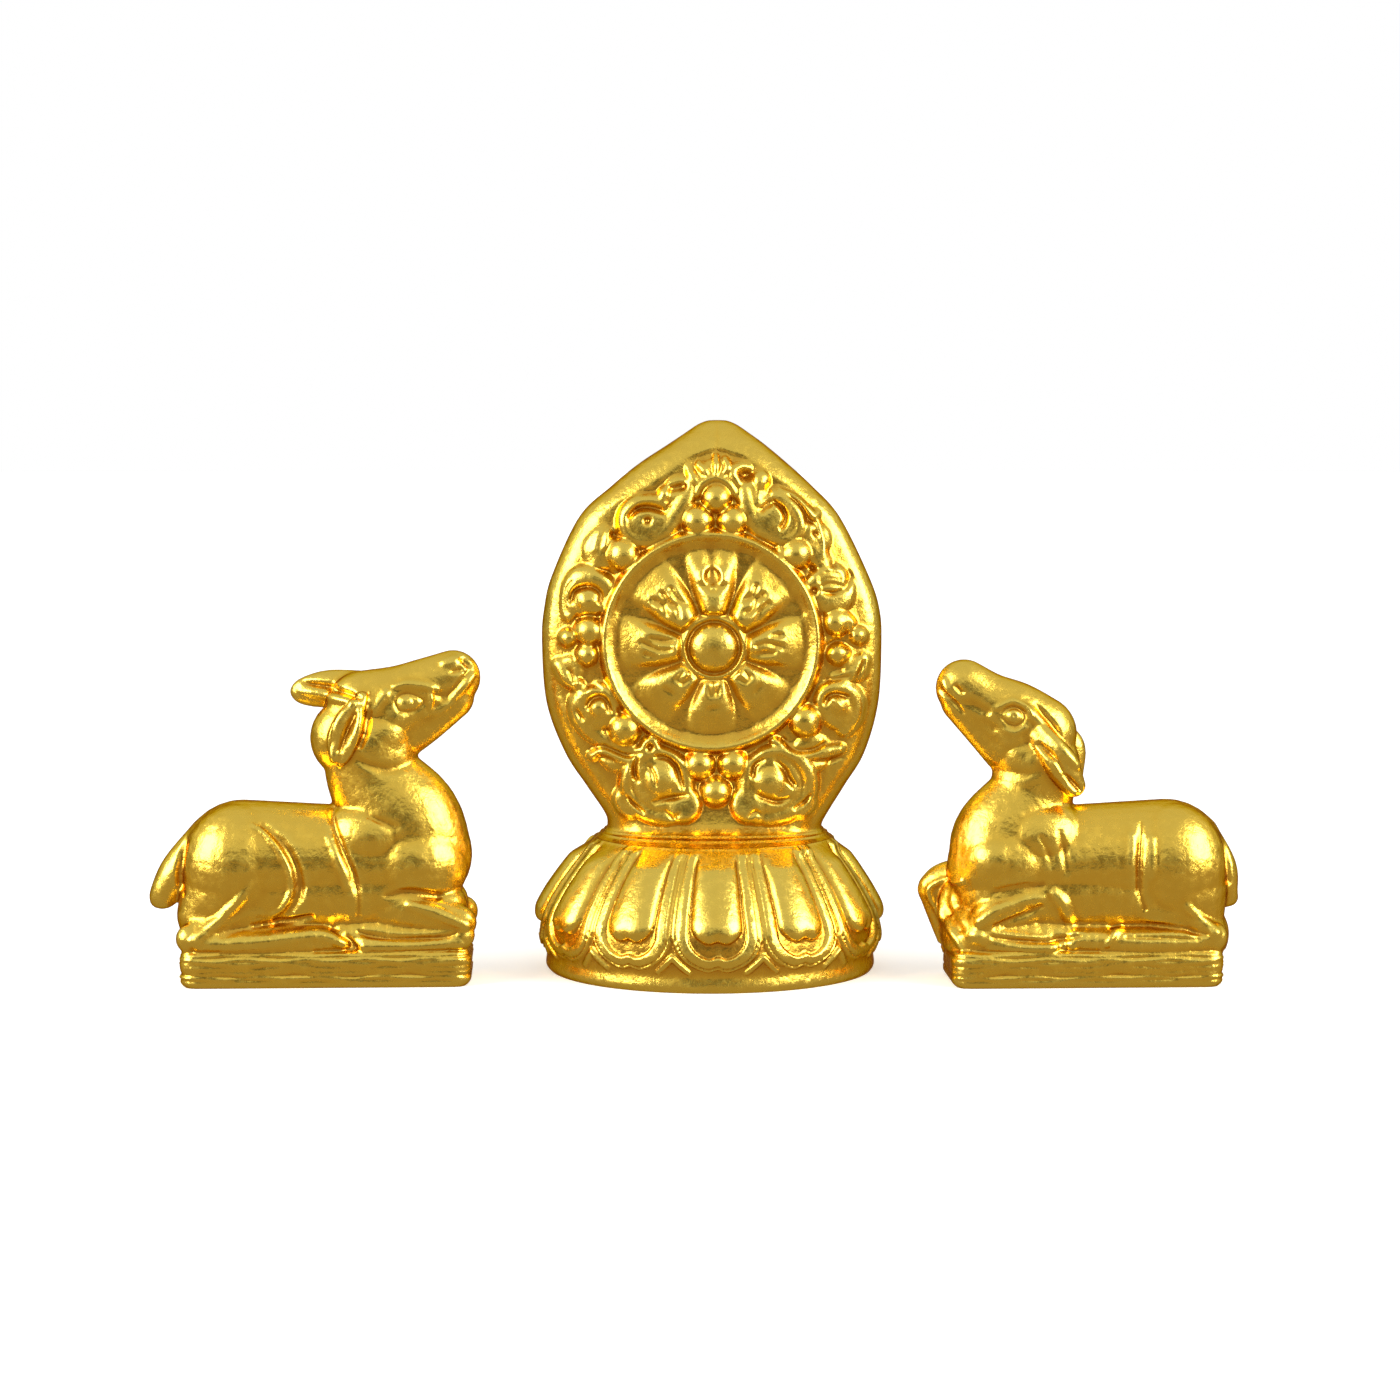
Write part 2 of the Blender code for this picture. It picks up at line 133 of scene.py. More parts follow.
def worked(mesh, kind, **settings):
    """The mesh as one modifier of the given kind leaves it."""
    holder = bpy.data.objects.new("holder", mesh)
    bpy.context.scene.collection.objects.link(holder)
    modifier = holder.modifiers.new(kind.lower(), kind)
    for name, value in settings.items():
        setattr(modifier, name, value)
    graph = bpy.context.evaluated_depsgraph_get()
    result = bpy.data.meshes.new_from_object(holder.evaluated_get(graph))
    bpy.data.objects.remove(holder, do_unlink=True)
    return result


def pressed(x, z, route, soft=False):
    """How far a tool drawn along a route lifts each point. Each row: x, z, half width, height."""
    rows = np.array(route, dtype=float)
    if len(route) > 1:
        rows = through(route, STROKE_SAMPLES * len(route))
    reach = rows[:, 2].max()
    found = np.flatnonzero(
        (x > rows[:, 0].min() - reach) & (x < rows[:, 0].max() + reach)
        & (z > rows[:, 1].min() - reach) & (z < rows[:, 1].max() + reach)
    )
    px, pz = x[found], z[found]
    lift = np.zeros(len(found))
    for cx, cz, half_width, height in rows:
        left = np.clip(1.0 - ((px - cx) ** 2 + (pz - cz) ** 2) / half_width**2, 0.0, 1.0)
        lift = np.maximum(lift, height * (left**2 if soft else np.sqrt(left)))
    out = np.zeros(len(x))
    out[found] = lift
    return out


def eased(grid, passes):
    """Softens a grid of heights, row by row and column by column, as wear and leaf do."""
    for _ in range(passes):
        grid = 0.25 * np.roll(grid, 1, 1) + 0.5 * grid + 0.25 * np.roll(grid, -1, 1)
        inner = 0.25 * grid[:-2] + 0.5 * grid[1:-1] + 0.25 * grid[2:]
        grid = np.vstack([grid[:1], inner, grid[-1:]])
    return grid


def section_points(half_width, front, behind, squareness):
    """One closed section, its points shared out by length, with more of them in front."""
    angles = np.linspace(0.0, math.pi, SECTION_SAMPLES)
    power = 2.0 / squareness
    across = -half_width * np.sign(np.cos(angles)) * np.abs(np.cos(angles)) ** power
    deep = np.abs(np.sin(angles)) ** power
    halves = []
    front_columns = int(WHEEL_COLUMNS * FRONT_SHARE)
    for depth, count, way in ((-front, front_columns, 1), (behind, WHEEL_COLUMNS - front_columns, -1)):
        x = across * way
        y = deep * depth
        length = np.concatenate([[0.0], np.cumsum(np.hypot(np.diff(x), np.diff(y)))])
        wanted = np.linspace(0.0, length[-1], count + 1)[:-1]
        halves.append(np.column_stack([np.interp(wanted, length, x), np.interp(wanted, length, y)]))
    return np.vstack(halves)


# Strokes of the border in relief, each a row of x, height, half width and lift
RAISED_STROKES = (
    ((0.7, 62.8, 1.96, 1.95),),
    ((-1.8, 59.8, 2.09, 1.9),),
    ((2.8, 59.8, 1.96, 1.8),),
    ((-1.8, 63.4, 0.52, 0.8), (-1.1, 64.7, 0.59, 1.1), (0.6, 65.4, 0.52, 1.2), (2.2, 64.7, 0.59, 1.1),
     (3.1, 63.4, 0.52, 0.8)),
    ((0.6, 65.6, 0.39, 1.1), (0.7, 66.9, 0.52, 1.4), (0.6, 68.1, 0.34, 0.7)),
    ((-0.3, 65.4, 0.39, 1.0), (-0.9, 66.4, 0.59, 1.2), (-1.6, 67.0, 0.46, 0.8)),
    ((-1.5, 64.3, 0.46, 0.9), (-2.4, 65.5, 0.59, 1.0), (-3.0, 66.7, 0.39, 0.5)),
    ((1.4, 65.6, 0.39, 1.0), (2.2, 66.7, 0.52, 1.2), (1.8, 67.7, 0.39, 0.8)),
    ((3.5, 64.7, 0.52, 1.0), (2.8, 66.1, 0.59, 1.1), (3.9, 66.9, 0.46, 0.8), (5.0, 66.7, 0.34, 0.4)),
    ((-2.9, 64.3, 0.78, 0.9), (-3.5, 62.5, 1.04, 1.0), (-4.6, 60.6, 1.04, 1.0), (-6.1, 58.5, 1.04, 1.0),
     (-7.7, 57.2, 0.91, 0.9)),
    ((-6.5, 62.1, 0.52, 0.9), (-6.1, 63.3, 0.72, 1.25)),
    ((-6.3, 62.0, 0.65, 1.0), (-8.0, 62.4, 0.65, 1.15), (-9.8, 62.1, 0.72, 1.3), (-11.1, 60.9, 0.78, 1.35),
     (-11.4, 59.4, 0.78, 1.3), (-10.8, 58.0, 0.78, 1.1), (-9.3, 57.2, 0.78, 1.0), (-7.7, 57.2, 0.91, 0.9)),
    ((-8.5, 59.5, 1.63, 1.0),),
    ((-11.6, 55.4, 2.15, 1.95),),
    ((-14.9, 54.4, 1.3, 0.8), (-14.9, 56.0, 1.56, 0.95), (-14.5, 57.6, 1.04, 0.7),
     (-14.1, 58.7, 0.52, 0.4)),
    ((-15.3, 55.9, 0.39, 1.25), (-14.6, 58.3, 0.34, 0.8)),
    ((-13.9, 56.4, 0.39, 1.25), (-13.5, 58.3, 0.34, 0.8)),
    ((-13.7, 50.5, 1.04, 0.8), (-15.0, 52.1, 1.3, 1.2), (-17.0, 52.4, 1.17, 1.35), (-18.3, 51.2, 0.91, 1.25),
     (-18.8, 49.2, 0.78, 1.0), (-18.7, 47.5, 0.78, 0.7)),
    ((-16.4, 49.4, 1.7, 1.5),),
    ((-16.1, 45.3, 1.96, 1.75),),
    ((-18.9, 44.4, 1.24, 1.25),),
    ((-16.3, 42.2, 1.56, 1.45),),
    ((-20.0, 40.7, 0.78, 0.8), (-19.0, 39.3, 0.91, 1.0), (-17.4, 38.1, 0.78, 0.9)),
    ((-17.5, 38.5, 0.59, 1.3),),
    ((-13.0, 34.2, 0.65, 0.8), (-13.1, 36.1, 0.78, 1.0), (-14.5, 37.5, 0.85, 1.15),
     (-16.3, 37.2, 0.78, 1.15), (-17.5, 35.9, 0.98, 1.1), (-17.1, 33.9, 1.04, 1.0), (-15.8, 32.2, 1.04, 0.9),
     (-14.3, 31.0, 0.91, 0.8)),
    ((-14.9, 35.2, 1.56, 1.45),),
    ((-11.4, 32.4, 2.15, 1.95),),
    ((-15.6, 28.9, 0.52, 0.8), (-14.3, 29.6, 0.65, 1.1), (-12.4, 28.9, 0.65, 1.0), (-10.6, 28.5, 0.59, 1.0),
     (-9.2, 29.6, 0.59, 1.0)),
    ((-8.9, 29.3, 0.42, 0.9), (-8.7, 30.5, 0.47, 1.1), (-7.8, 31.1, 0.47, 1.15), (-7.1, 30.1, 0.44, 1.0),
     (-7.9, 28.9, 0.42, 0.9)),
    ((-7.1, 29.7, 0.65, 1.0), (-8.8, 29.0, 0.65, 1.0), (-10.4, 27.7, 0.72, 1.15), (-11.1, 26.0, 0.78, 1.25),
     (-11.0, 24.2, 0.85, 1.15), (-9.8, 22.3, 0.91, 1.0), (-8.0, 21.3, 0.98, 0.9), (-5.9, 20.9, 0.91, 0.8)),
    ((-6.7, 29.6, 0.59, 1.0), (-5.1, 28.9, 0.65, 1.15), (-3.7, 27.5, 0.65, 1.15), (-3.2, 25.6, 0.72, 1.1),
     (-3.5, 23.6, 0.78, 1.0), (-4.7, 22.2, 0.91, 0.9)),
    ((-6.6, 25.8, 2.61, 1.7),),
    ((-4.6, 22.7, 1.3, 1.0), (-5.4, 21.4, 1.17, 0.9)),
    ((-1.5, 27.8, 2.02, 1.85),),
    ((2.9, 27.9, 2.02, 1.85),),
    ((0.6, 24.3, 2.02, 1.95),),
    ((6.0, 62.1, 0.65, 0.9), (6.2, 63.7, 0.52, 0.9), (6.5, 65.1, 0.98, 1.3)),
    ((4.4, 63.8, 0.78, 0.9), (4.8, 61.9, 1.04, 1.0), (5.4, 60.2, 1.04, 0.95), (6.7, 58.6, 1.04, 0.9),
     (8.4, 57.6, 0.85, 0.9)),
    ((8.2, 63.3, 0.52, 0.8), (9.9, 62.5, 0.72, 1.2), (11.1, 61.2, 0.85, 1.4), (11.7, 59.6, 0.85, 1.3),
     (11.3, 58.2, 0.78, 1.1), (10.0, 57.4, 0.78, 1.0), (8.4, 57.6, 0.85, 0.9)),
    ((8.9, 63.7, 0.37, 0.8), (10.9, 62.7, 0.42, 1.1), (12.5, 61.3, 0.44, 1.25), (13.5, 60.3, 0.5, 1.2),
     (14.0, 60.8, 0.31, 0.6)),
    ((8.0, 60.3, 1.43, 1.0),),
    ((9.0, 59.8, 0.39, 1.2), (8.7, 58.9, 0.39, 1.15)),
    ((6.7, 61.3, 0.31, 0.5), (7.9, 62.2, 0.37, 0.8)),
    ((11.3, 55.5, 2.02, 1.85),),
    ((9.0, 56.1, 0.39, 0.9), (9.6, 55.1, 0.44, 1.2), (10.0, 56.1, 0.39, 1.2)),
    ((12.5, 57.8, 0.37, 0.9), (13.0, 59.0, 0.39, 1.05), (13.2, 57.6, 0.39, 0.9)),
    ((14.0, 59.5, 0.37, 1.0), (14.4, 58.1, 0.39, 1.15), (14.7, 56.5, 0.39, 1.1), (14.6, 55.1, 0.59, 1.0)),
    ((13.8, 56.0, 1.04, 0.9), (14.4, 54.4, 1.04, 0.85), (15.4, 53.3, 0.78, 0.8)),
    ((13.0, 50.8, 0.91, 0.9), (14.2, 52.1, 1.17, 1.15), (16.0, 52.5, 1.3, 1.2), (17.4, 51.2, 1.04, 1.0),
     (16.9, 49.5, 1.17, 0.95), (15.1, 49.0, 1.17, 0.85)),
    ((16.5, 46.5, 1.83, 1.65),),
    ((17.7, 47.4, 0.42, 1.0), (18.5, 46.4, 0.42, 1.15), (18.1, 45.6, 0.39, 0.9)),
    ((19.4, 44.7, 1.24, 1.3),),
    ((16.7, 42.4, 1.63, 1.5),),
    ((20.0, 41.5, 0.78, 0.8), (19.3, 40.2, 0.91, 1.0), (18.0, 39.3, 0.78, 0.8), (16.3, 38.9, 0.65, 0.6)),
    ((14.6, 34.7, 0.65, 0.8), (14.6, 36.7, 0.78, 1.0), (16.1, 37.8, 0.85, 1.15), (18.0, 37.6, 0.85, 1.15),
     (19.1, 36.1, 0.91, 1.0), (18.8, 34.2, 1.04, 0.9), (17.6, 32.6, 1.04, 0.8)),
    ((16.8, 35.6, 1.5, 1.35),),
    ((15.8, 36.8, 0.39, 1.2), (16.8, 35.7, 0.39, 1.7), (17.8, 34.8, 0.39, 1.2)),
    ((12.4, 33.5, 2.15, 1.95),),
    ((8.2, 31.0, 0.44, 0.9), (9.4, 30.2, 0.57, 1.0), (11.1, 29.2, 0.65, 1.1), (13.2, 29.0, 0.65, 1.0),
     (15.0, 29.4, 0.72, 1.1), (16.9, 29.8, 0.57, 0.9)),
    ((5.9, 28.5, 0.59, 0.9), (7.2, 29.4, 0.65, 1.05), (9.1, 29.6, 0.72, 1.15), (11.1, 28.8, 0.85, 1.2),
     (12.6, 27.3, 0.91, 1.25), (13.1, 25.5, 0.91, 1.2), (12.7, 23.6, 0.91, 1.1), (11.5, 22.2, 0.91, 1.0),
     (9.7, 21.3, 0.98, 0.9), (7.5, 20.9, 0.91, 0.8)),
    ((5.4, 28.1, 0.59, 1.0), (4.7, 26.5, 0.65, 1.1), (4.6, 24.7, 0.72, 1.1), (5.2, 23.1, 0.78, 1.0),
     (6.5, 21.9, 0.91, 0.9)),
    ((7.8, 25.5, 2.54, 1.7),),
    ((5.1, 22.7, 1.3, 1.0), (6.0, 21.4, 1.17, 0.9)),
)

# Flat-topped pads under the scrolls: x, height, radius and lift
PADS = (
    (-6.6, 25.6, 4.4, 1.05), (7.8, 25.4, 4.5, 1.05), (-3.7, 22.6, 2.5, 1.1), (5.0, 22.6, 2.5, 1.1),
    (-8.5, 59.7, 3.3, 1.0), (8.6, 60.1, 3.3, 1.0), (-16.3, 49.8, 2.9, 0.95), (16.0, 50.4, 3.0, 1.0),
    (-15.3, 35.0, 2.9, 0.95), (16.9, 35.2, 2.9, 0.95), (-14.4, 56.2, 2.3, 0.8), (13.6, 57.4, 2.2, 0.8),
    (0.6, 65.3, 2.6, 0.75), (-4.3, 63.6, 2.0, 0.7), (5.2, 63.6, 2.2, 0.7), (-12.3, 29.3, 2.6, 0.6),
    (13.2, 29.3, 2.6, 0.6), (-18.6, 40.3, 1.8, 0.6), (19.0, 40.4, 1.8, 0.6), (-10.6, 23.0, 2.4, 0.8),
    (11.6, 23.0, 2.4, 0.8),
)

# Grooves and pits cut into them
CUT_STROKES = (
    ((-8.3, 59.8, 0.72, 0.8),),
    ((-10.6, 60.4, 0.46, 0.8), (-9.6, 61.3, 0.59, 1.1), (-8.2, 61.5, 0.65, 1.2), (-6.8, 61.2, 0.59, 1.1),
     (-6.1, 60.8, 0.39, 0.7)),
    ((-5.0, 63.9, 0.78, 0.7), (-3.7, 64.2, 0.85, 0.8)),
    ((-12.8, 57.8, 0.59, 0.8),),
    ((-14.9, 53.5, 0.31, 0.6), (-13.8, 53.1, 0.42, 1.0), (-12.8, 52.5, 0.31, 0.6)),
    ((-18.3, 51.8, 0.29, 0.4), (-19.0, 50.5, 0.29, 0.55), (-19.1, 48.7, 0.29, 0.5),
     (-18.8, 47.7, 0.29, 0.3)),
    ((-18.4, 49.2, 0.34, 0.9), (-18.0, 50.5, 0.42, 1.1), (-16.8, 51.1, 0.42, 1.2), (-15.5, 51.1, 0.42, 1.2),
     (-14.5, 50.3, 0.42, 1.1), (-14.4, 49.1, 0.39, 0.9)),
    ((-16.0, 50.0, 0.34, 0.5),),
    ((-17.9, 47.0, 0.29, 0.5), (-16.4, 47.4, 0.31, 0.7), (-14.6, 47.4, 0.29, 0.5)),
    ((-18.6, 40.1, 0.31, 0.6), (-18.0, 38.8, 0.34, 0.8)),
    ((-16.6, 37.7, 0.31, 0.6), (-15.6, 38.3, 0.37, 0.9), (-14.4, 37.8, 0.31, 0.6)),
    ((-16.2, 35.4, 0.34, 0.8), (-15.7, 36.3, 0.42, 1.0), (-14.5, 36.8, 0.42, 1.0), (-13.6, 36.1, 0.37, 0.9),
     (-13.2, 34.8, 0.34, 0.7)),
    ((-17.7, 35.0, 0.31, 0.5), (-17.0, 33.8, 0.34, 0.7)),
    ((-15.8, 29.6, 0.29, 0.5), (-14.4, 30.2, 0.31, 0.8), (-12.7, 29.6, 0.31, 0.9), (-11.0, 29.0, 0.31, 0.9),
     (-9.3, 29.4, 0.29, 0.6)),
    ((-14.9, 28.9, 0.29, 0.4), (-13.9, 28.7, 0.31, 0.6), (-12.7, 28.3, 0.29, 0.4)),
    ((-8.0, 30.0, 0.42, 0.8),),
    ((-9.7, 28.7, 0.34, 0.8), (-10.1, 27.3, 0.42, 1.1), (-9.8, 25.9, 0.37, 0.9)),
    ((-7.2, 28.8, 0.31, 0.6), (-5.8, 28.7, 0.42, 1.0), (-4.6, 27.6, 0.44, 1.15), (-4.1, 26.2, 0.39, 0.9),
     (-3.8, 24.8, 0.31, 0.5)),
    ((-8.1, 27.6, 0.31, 0.4), (-7.5, 26.7, 0.34, 0.6), (-7.3, 25.2, 0.31, 0.4)),
    ((-11.1, 23.6, 0.31, 0.5), (-10.1, 22.6, 0.39, 1.0), (-8.9, 21.6, 0.31, 0.6)),
    ((-7.6, 22.9, 0.29, 0.5), (-6.2, 23.3, 0.37, 0.8), (-4.6, 23.6, 0.42, 1.0), (-3.2, 23.9, 0.31, 0.5)),
    ((-5.9, 21.7, 0.29, 0.4), (-5.0, 20.9, 0.31, 0.6), (-4.1, 21.4, 0.29, 0.3)),
    ((4.7, 65.4, 1.04, 1.0),),
    ((8.2, 62.3, 0.42, 0.9), (9.1, 61.6, 0.47, 1.2), (9.7, 60.6, 0.47, 1.2), (9.7, 59.6, 0.42, 1.0),
     (9.2, 58.9, 0.42, 0.9)),
    ((10.2, 63.0, 0.29, 0.4), (11.5, 61.9, 0.3, 0.6), (12.3, 60.7, 0.3, 0.6), (12.5, 59.5, 0.3, 0.6)),
    ((9.4, 59.0, 0.44, 0.6),),
    ((6.7, 61.2, 0.65, 0.7), (7.7, 62.1, 0.72, 0.9)),
    ((13.6, 58.0, 0.5, 0.8),),
    ((13.3, 53.6, 0.59, 0.9),),
    ((16.0, 53.9, 0.59, 0.8),),
    ((14.1, 52.5, 0.29, 0.4), (15.5, 53.0, 0.29, 0.5), (16.9, 52.7, 0.29, 0.4)),
    ((14.1, 51.9, 0.29, 0.4), (15.5, 52.3, 0.29, 0.5), (17.0, 52.1, 0.29, 0.4)),
    ((14.4, 51.2, 0.29, 0.4), (15.6, 51.6, 0.29, 0.5), (17.1, 51.3, 0.29, 0.4)),
    ((18.0, 52.9, 0.47, 0.5), (18.1, 52.0, 0.59, 0.9), (17.6, 50.9, 0.44, 0.6)),
    ((13.5, 50.7, 0.6, 1.0),),
    ((14.7, 50.5, 0.31, 0.6), (15.9, 50.3, 0.34, 0.9), (17.1, 50.7, 0.31, 0.6)),
    ((15.2, 42.8, 0.31, 0.7), (15.7, 43.6, 0.37, 0.9), (16.8, 43.9, 0.37, 0.9), (17.9, 43.2, 0.34, 0.8)),
    ((20.0, 41.3, 0.29, 0.6), (19.6, 40.1, 0.34, 0.9), (19.1, 39.0, 0.29, 0.5)),
    ((15.1, 38.9, 0.29, 0.4), (16.6, 39.1, 0.31, 0.7), (18.1, 39.4, 0.29, 0.5)),
    ((15.0, 35.9, 0.37, 0.7), (15.4, 36.8, 0.42, 1.0), (16.6, 37.1, 0.37, 0.8), (17.9, 36.7, 0.34, 0.7)),
    ((9.4, 31.2, 0.31, 0.7), (10.3, 30.1, 0.31, 0.9), (11.8, 29.6, 0.31, 0.8), (13.5, 29.8, 0.31, 0.8),
     (14.9, 30.6, 0.34, 0.8)),
    ((13.2, 28.3, 0.29, 0.4), (15.3, 28.2, 0.31, 0.6), (17.3, 28.7, 0.29, 0.4)),
    ((8.6, 28.3, 0.31, 0.6), (9.7, 27.1, 0.42, 1.0), (10.2, 26.0, 0.44, 1.1), (10.9, 25.1, 0.37, 0.9)),
    ((6.8, 28.5, 0.31, 0.5), (5.7, 27.7, 0.37, 0.8), (5.5, 26.3, 0.34, 0.8)),
    ((6.1, 23.9, 0.31, 0.6), (7.5, 23.3, 0.34, 0.8), (8.9, 23.0, 0.37, 0.9), (10.2, 23.4, 0.31, 0.5)),
    ((11.1, 22.1, 0.31, 0.6), (12.3, 22.9, 0.37, 0.9), (13.1, 23.8, 0.31, 0.5)),
    ((5.0, 21.1, 0.29, 0.3), (5.8, 21.7, 0.34, 0.6), (6.5, 21.4, 0.29, 0.3)),
)

# Left and right edges of the carved field at rising heights
CARVED_EDGE = (
    (17.8, -9.3, 10.6), (19.5, -9.4, 10.7), (22, -11.7, 13.3), (25, -14.1, 15.2),
    (28, -15.9, 17.0), (31, -17.1, 18.4), (34, -18.6, 19.6), (37, -19.9, 20.4),
    (40, -20.6, 20.8), (43, -20.9, 21.0), (46, -20.8, 20.8), (49, -20.4, 20.2),
    (52, -19.4, 19.3), (55, -17.3, 18.1), (58, -15.6, 16.6), (60, -14.2, 15.3),
    (62, -12.3, 13.2), (64, -8.3, 10.5), (66, -5.3, 7.2), (68, -3.0, 4.8),
    (69.3, 0.7, 0.9), (74, 0.7, 0.9),
)
# The ground between the carvings sinks this deep, over this way in from the edge of the field
GROUND_DEPTH = 0.4
GROUND_SLOPE = (-0.8, 1.8)
# Scrolls are carved this much wider than their strokes
SCROLL_FULLNESS = 1.3

PETAL_COUNT = 12
PETAL_TURN_DEG = 2.4
BASE_RADIUS = 22.0
# Heights over which the petals, and the lobe inside each, come out of the plain neck
PETAL_TOP = (17.6, 17.1)
LOBE_TOP = (17.4, 15.2)
# Lobe and rim end below in a half circle about the foot, squashed this much
LOBE_FOOT = 8.8
LOBE_SQUASH = 0.8
PETAL_RIM_FOOT = 7.6
PETAL_RIM_SQUASH = 0.87
PETAL_RIM_INSIDE = (3.6, 3.9)
PETAL_RIM_OUTSIDE = (5.25, 5.0)
PETAL_RIM_LIFT = 0.55
NOTCH_DEPTH = 0.5
NOTCH_HALF_WIDTH = 0.75
# Half-round beads, each by the distance of its middle, its half width and its height
LOBE = (0.0, 3.3, 1.55)
LIP = (5.47, 0.24, 0.35)
HUB_BALL = (0.0, 3.3, 2.0)
COLLAR = (3.85, 0.45, 0.95)
# The tip that shows between two petals, as distance from the middle, height, half width and lift
TIP_STROKE = ((0.0, 4.7, 0.4, 0.5), (0.9, 3.7, 0.45, 0.5), (2.0, 2.7, 0.4, 0.3))

DISC_CENTRE = (0.0, 44.0)
HUB_CENTRE = (0.35, 43.25)
# The spokes' middle moves from the hub to the disc's centre between these distances
CENTRE_SHIFT = (4.5, 13.0)
DISH_FLOOR = -0.25
DISH_SLOPE = (11.0, 4.5)
DISH_SLOPE_RISE = 0.5
DISH_WALL = (11.9, 13.9)
DISH_WALL_RISE = 0.95
RIM_RADIUS = 14.0
RIM_HALF_WIDTH = 0.7
RIM_RISE = 0.4
# The rim's outer side: where it starts and ends, how far it drops, and where the border takes over
RIM_SIDE = (0.1, 1.3)
RIM_DROP = 2.0
RIM_REACH = 1.25
HUB_EDGE = 0.3
# The groove round the hub: its distance from the middle, its width and its depth
HUB_GROOVE = (3.36, 0.16, 0.5)
SPOKE_COUNT = 8
SPOKE_REACH = 13.4
SPOKE_START = (4.1, 4.8)
# The outer end of a spoke sinks towards the rim
DROOP_WAY = (8.6, 12.9)
DROOP = (1.0, 0.08)
SCOOP_START = (9.4, 10.4)
SCOOP_HALF_WIDTH = 1.2
# Half width of a spoke at rising distances from the hub
SPOKE_OUTLINE = ((4.2, 5.0, 6.0, 7.4, 8.6, 10.0, 12.6), (1.5, 1.7, 2.1, 2.6, 2.9, 3.3, 3.9))
# Creases pressed into a spoke, each a row of distance across, distance out, half width and depth
TOP_MARKS = (
    ((0.0, 8.9, 1.15, 1.3),),
    ((-1.5, 8.0, 0.4, 0.3), (-0.7, 7.7, 0.4, 0.5), (-0.2, 7.2, 0.3, 0.3)),
    ((1.5, 8.0, 0.4, 0.3), (0.7, 7.7, 0.4, 0.5), (0.2, 7.2, 0.3, 0.3)),
)
SLANT_MARKS = (
    ((-1.2, 9.3, 0.5, 0.5), (-0.9, 8.3, 0.5, 0.7), (-1.3, 7.3, 0.4, 0.4)),
    ((0.1, 9.2, 0.5, 0.6), (-0.1, 8.1, 0.5, 0.7), (0.3, 7.0, 0.4, 0.5), (-0.3, 6.2, 0.4, 0.3)),
    ((1.3, 8.9, 0.45, 0.5), (1.1, 7.7, 0.45, 0.5), (1.4, 6.6, 0.35, 0.3)),
)
SIDE_MARKS = (
    ((0.9, 5.3, 0.5, 0.5), (0.8, 6.6, 0.6, 0.7), (0.9, 8.0, 0.5, 0.5)),
    ((-0.2, 5.6, 0.4, 0.4), (-0.4, 7.0, 0.45, 0.5), (0.0, 8.3, 0.5, 0.6), (0.3, 9.0, 0.4, 0.4)),
    ((-1.2, 8.7, 0.5, 0.5), (-1.3, 7.6, 0.4, 0.3)),
)
LOW_MARKS = (
    ((-0.7, 4.9, 0.45, 0.5), (-0.5, 6.2, 0.45, 0.5)),
    ((0.6, 5.0, 0.4, 0.4), (0.3, 6.4, 0.4, 0.3)),
    ((-0.6, 8.2, 0.35, 0.25), (0.5, 8.4, 0.35, 0.25)),
)
# The spokes, clockwise from the top: depth of the scoop in the outer end, height, and creases
SPOKES = (
    (1.1, 1.75, TOP_MARKS),
    (0.2, 1.7, SLANT_MARKS),
    (0.0, 1.55, SIDE_MARKS),
    (0.0, 1.3, LOW_MARKS),
    (0.0, 1.2, LOW_MARKS),
    (0.0, 1.3, LOW_MARKS),
    (0.0, 1.55, SIDE_MARKS),
    (0.2, 1.7, SLANT_MARKS),
)


def bead(way, middle, half_width, height):
    """A half-round bead that stands highest along its middle."""
    return height * np.sqrt(np.clip(1.0 - ((way - middle) / half_width) ** 2, 0.0, 1.0))


def petal_lift(x, y, z):
    """How far the lotus base stands out beyond its turned shape."""
    pitch = math.tau / PETAL_COUNT
    angle = np.arctan2(x, -y) - math.radians(PETAL_TURN_DEG)
    across = np.abs((angle + pitch / 2.0) % pitch - pitch / 2.0) * BASE_RADIUS
    fade = smooth_step(*PETAL_TOP, z)
    notch = NOTCH_DEPTH * np.exp(-((across / NOTCH_HALF_WIDTH) ** 2))
    lobe_way = np.hypot(across, np.maximum(0.0, LOBE_FOOT + notch - z) / LOBE_SQUASH)
    lobe = bead(lobe_way, *LOBE) * smooth_step(*LOBE_TOP, z)
    rim_way = np.hypot(across, np.maximum(0.0, PETAL_RIM_FOOT + notch - z) / PETAL_RIM_SQUASH)
    rim = smooth_step(*PETAL_RIM_INSIDE, rim_way) * smooth_step(*PETAL_RIM_OUTSIDE, rim_way)
    # The rim rises a little towards its outer edge
    rim *= 0.6 + 0.1 * rim_way
    tip = pressed(math.pi / PETAL_COUNT * BASE_RADIUS - across, z, TIP_STROKE)
    return fade * (lobe + PETAL_RIM_LIFT * rim + bead(rim_way, *LIP)) + tip


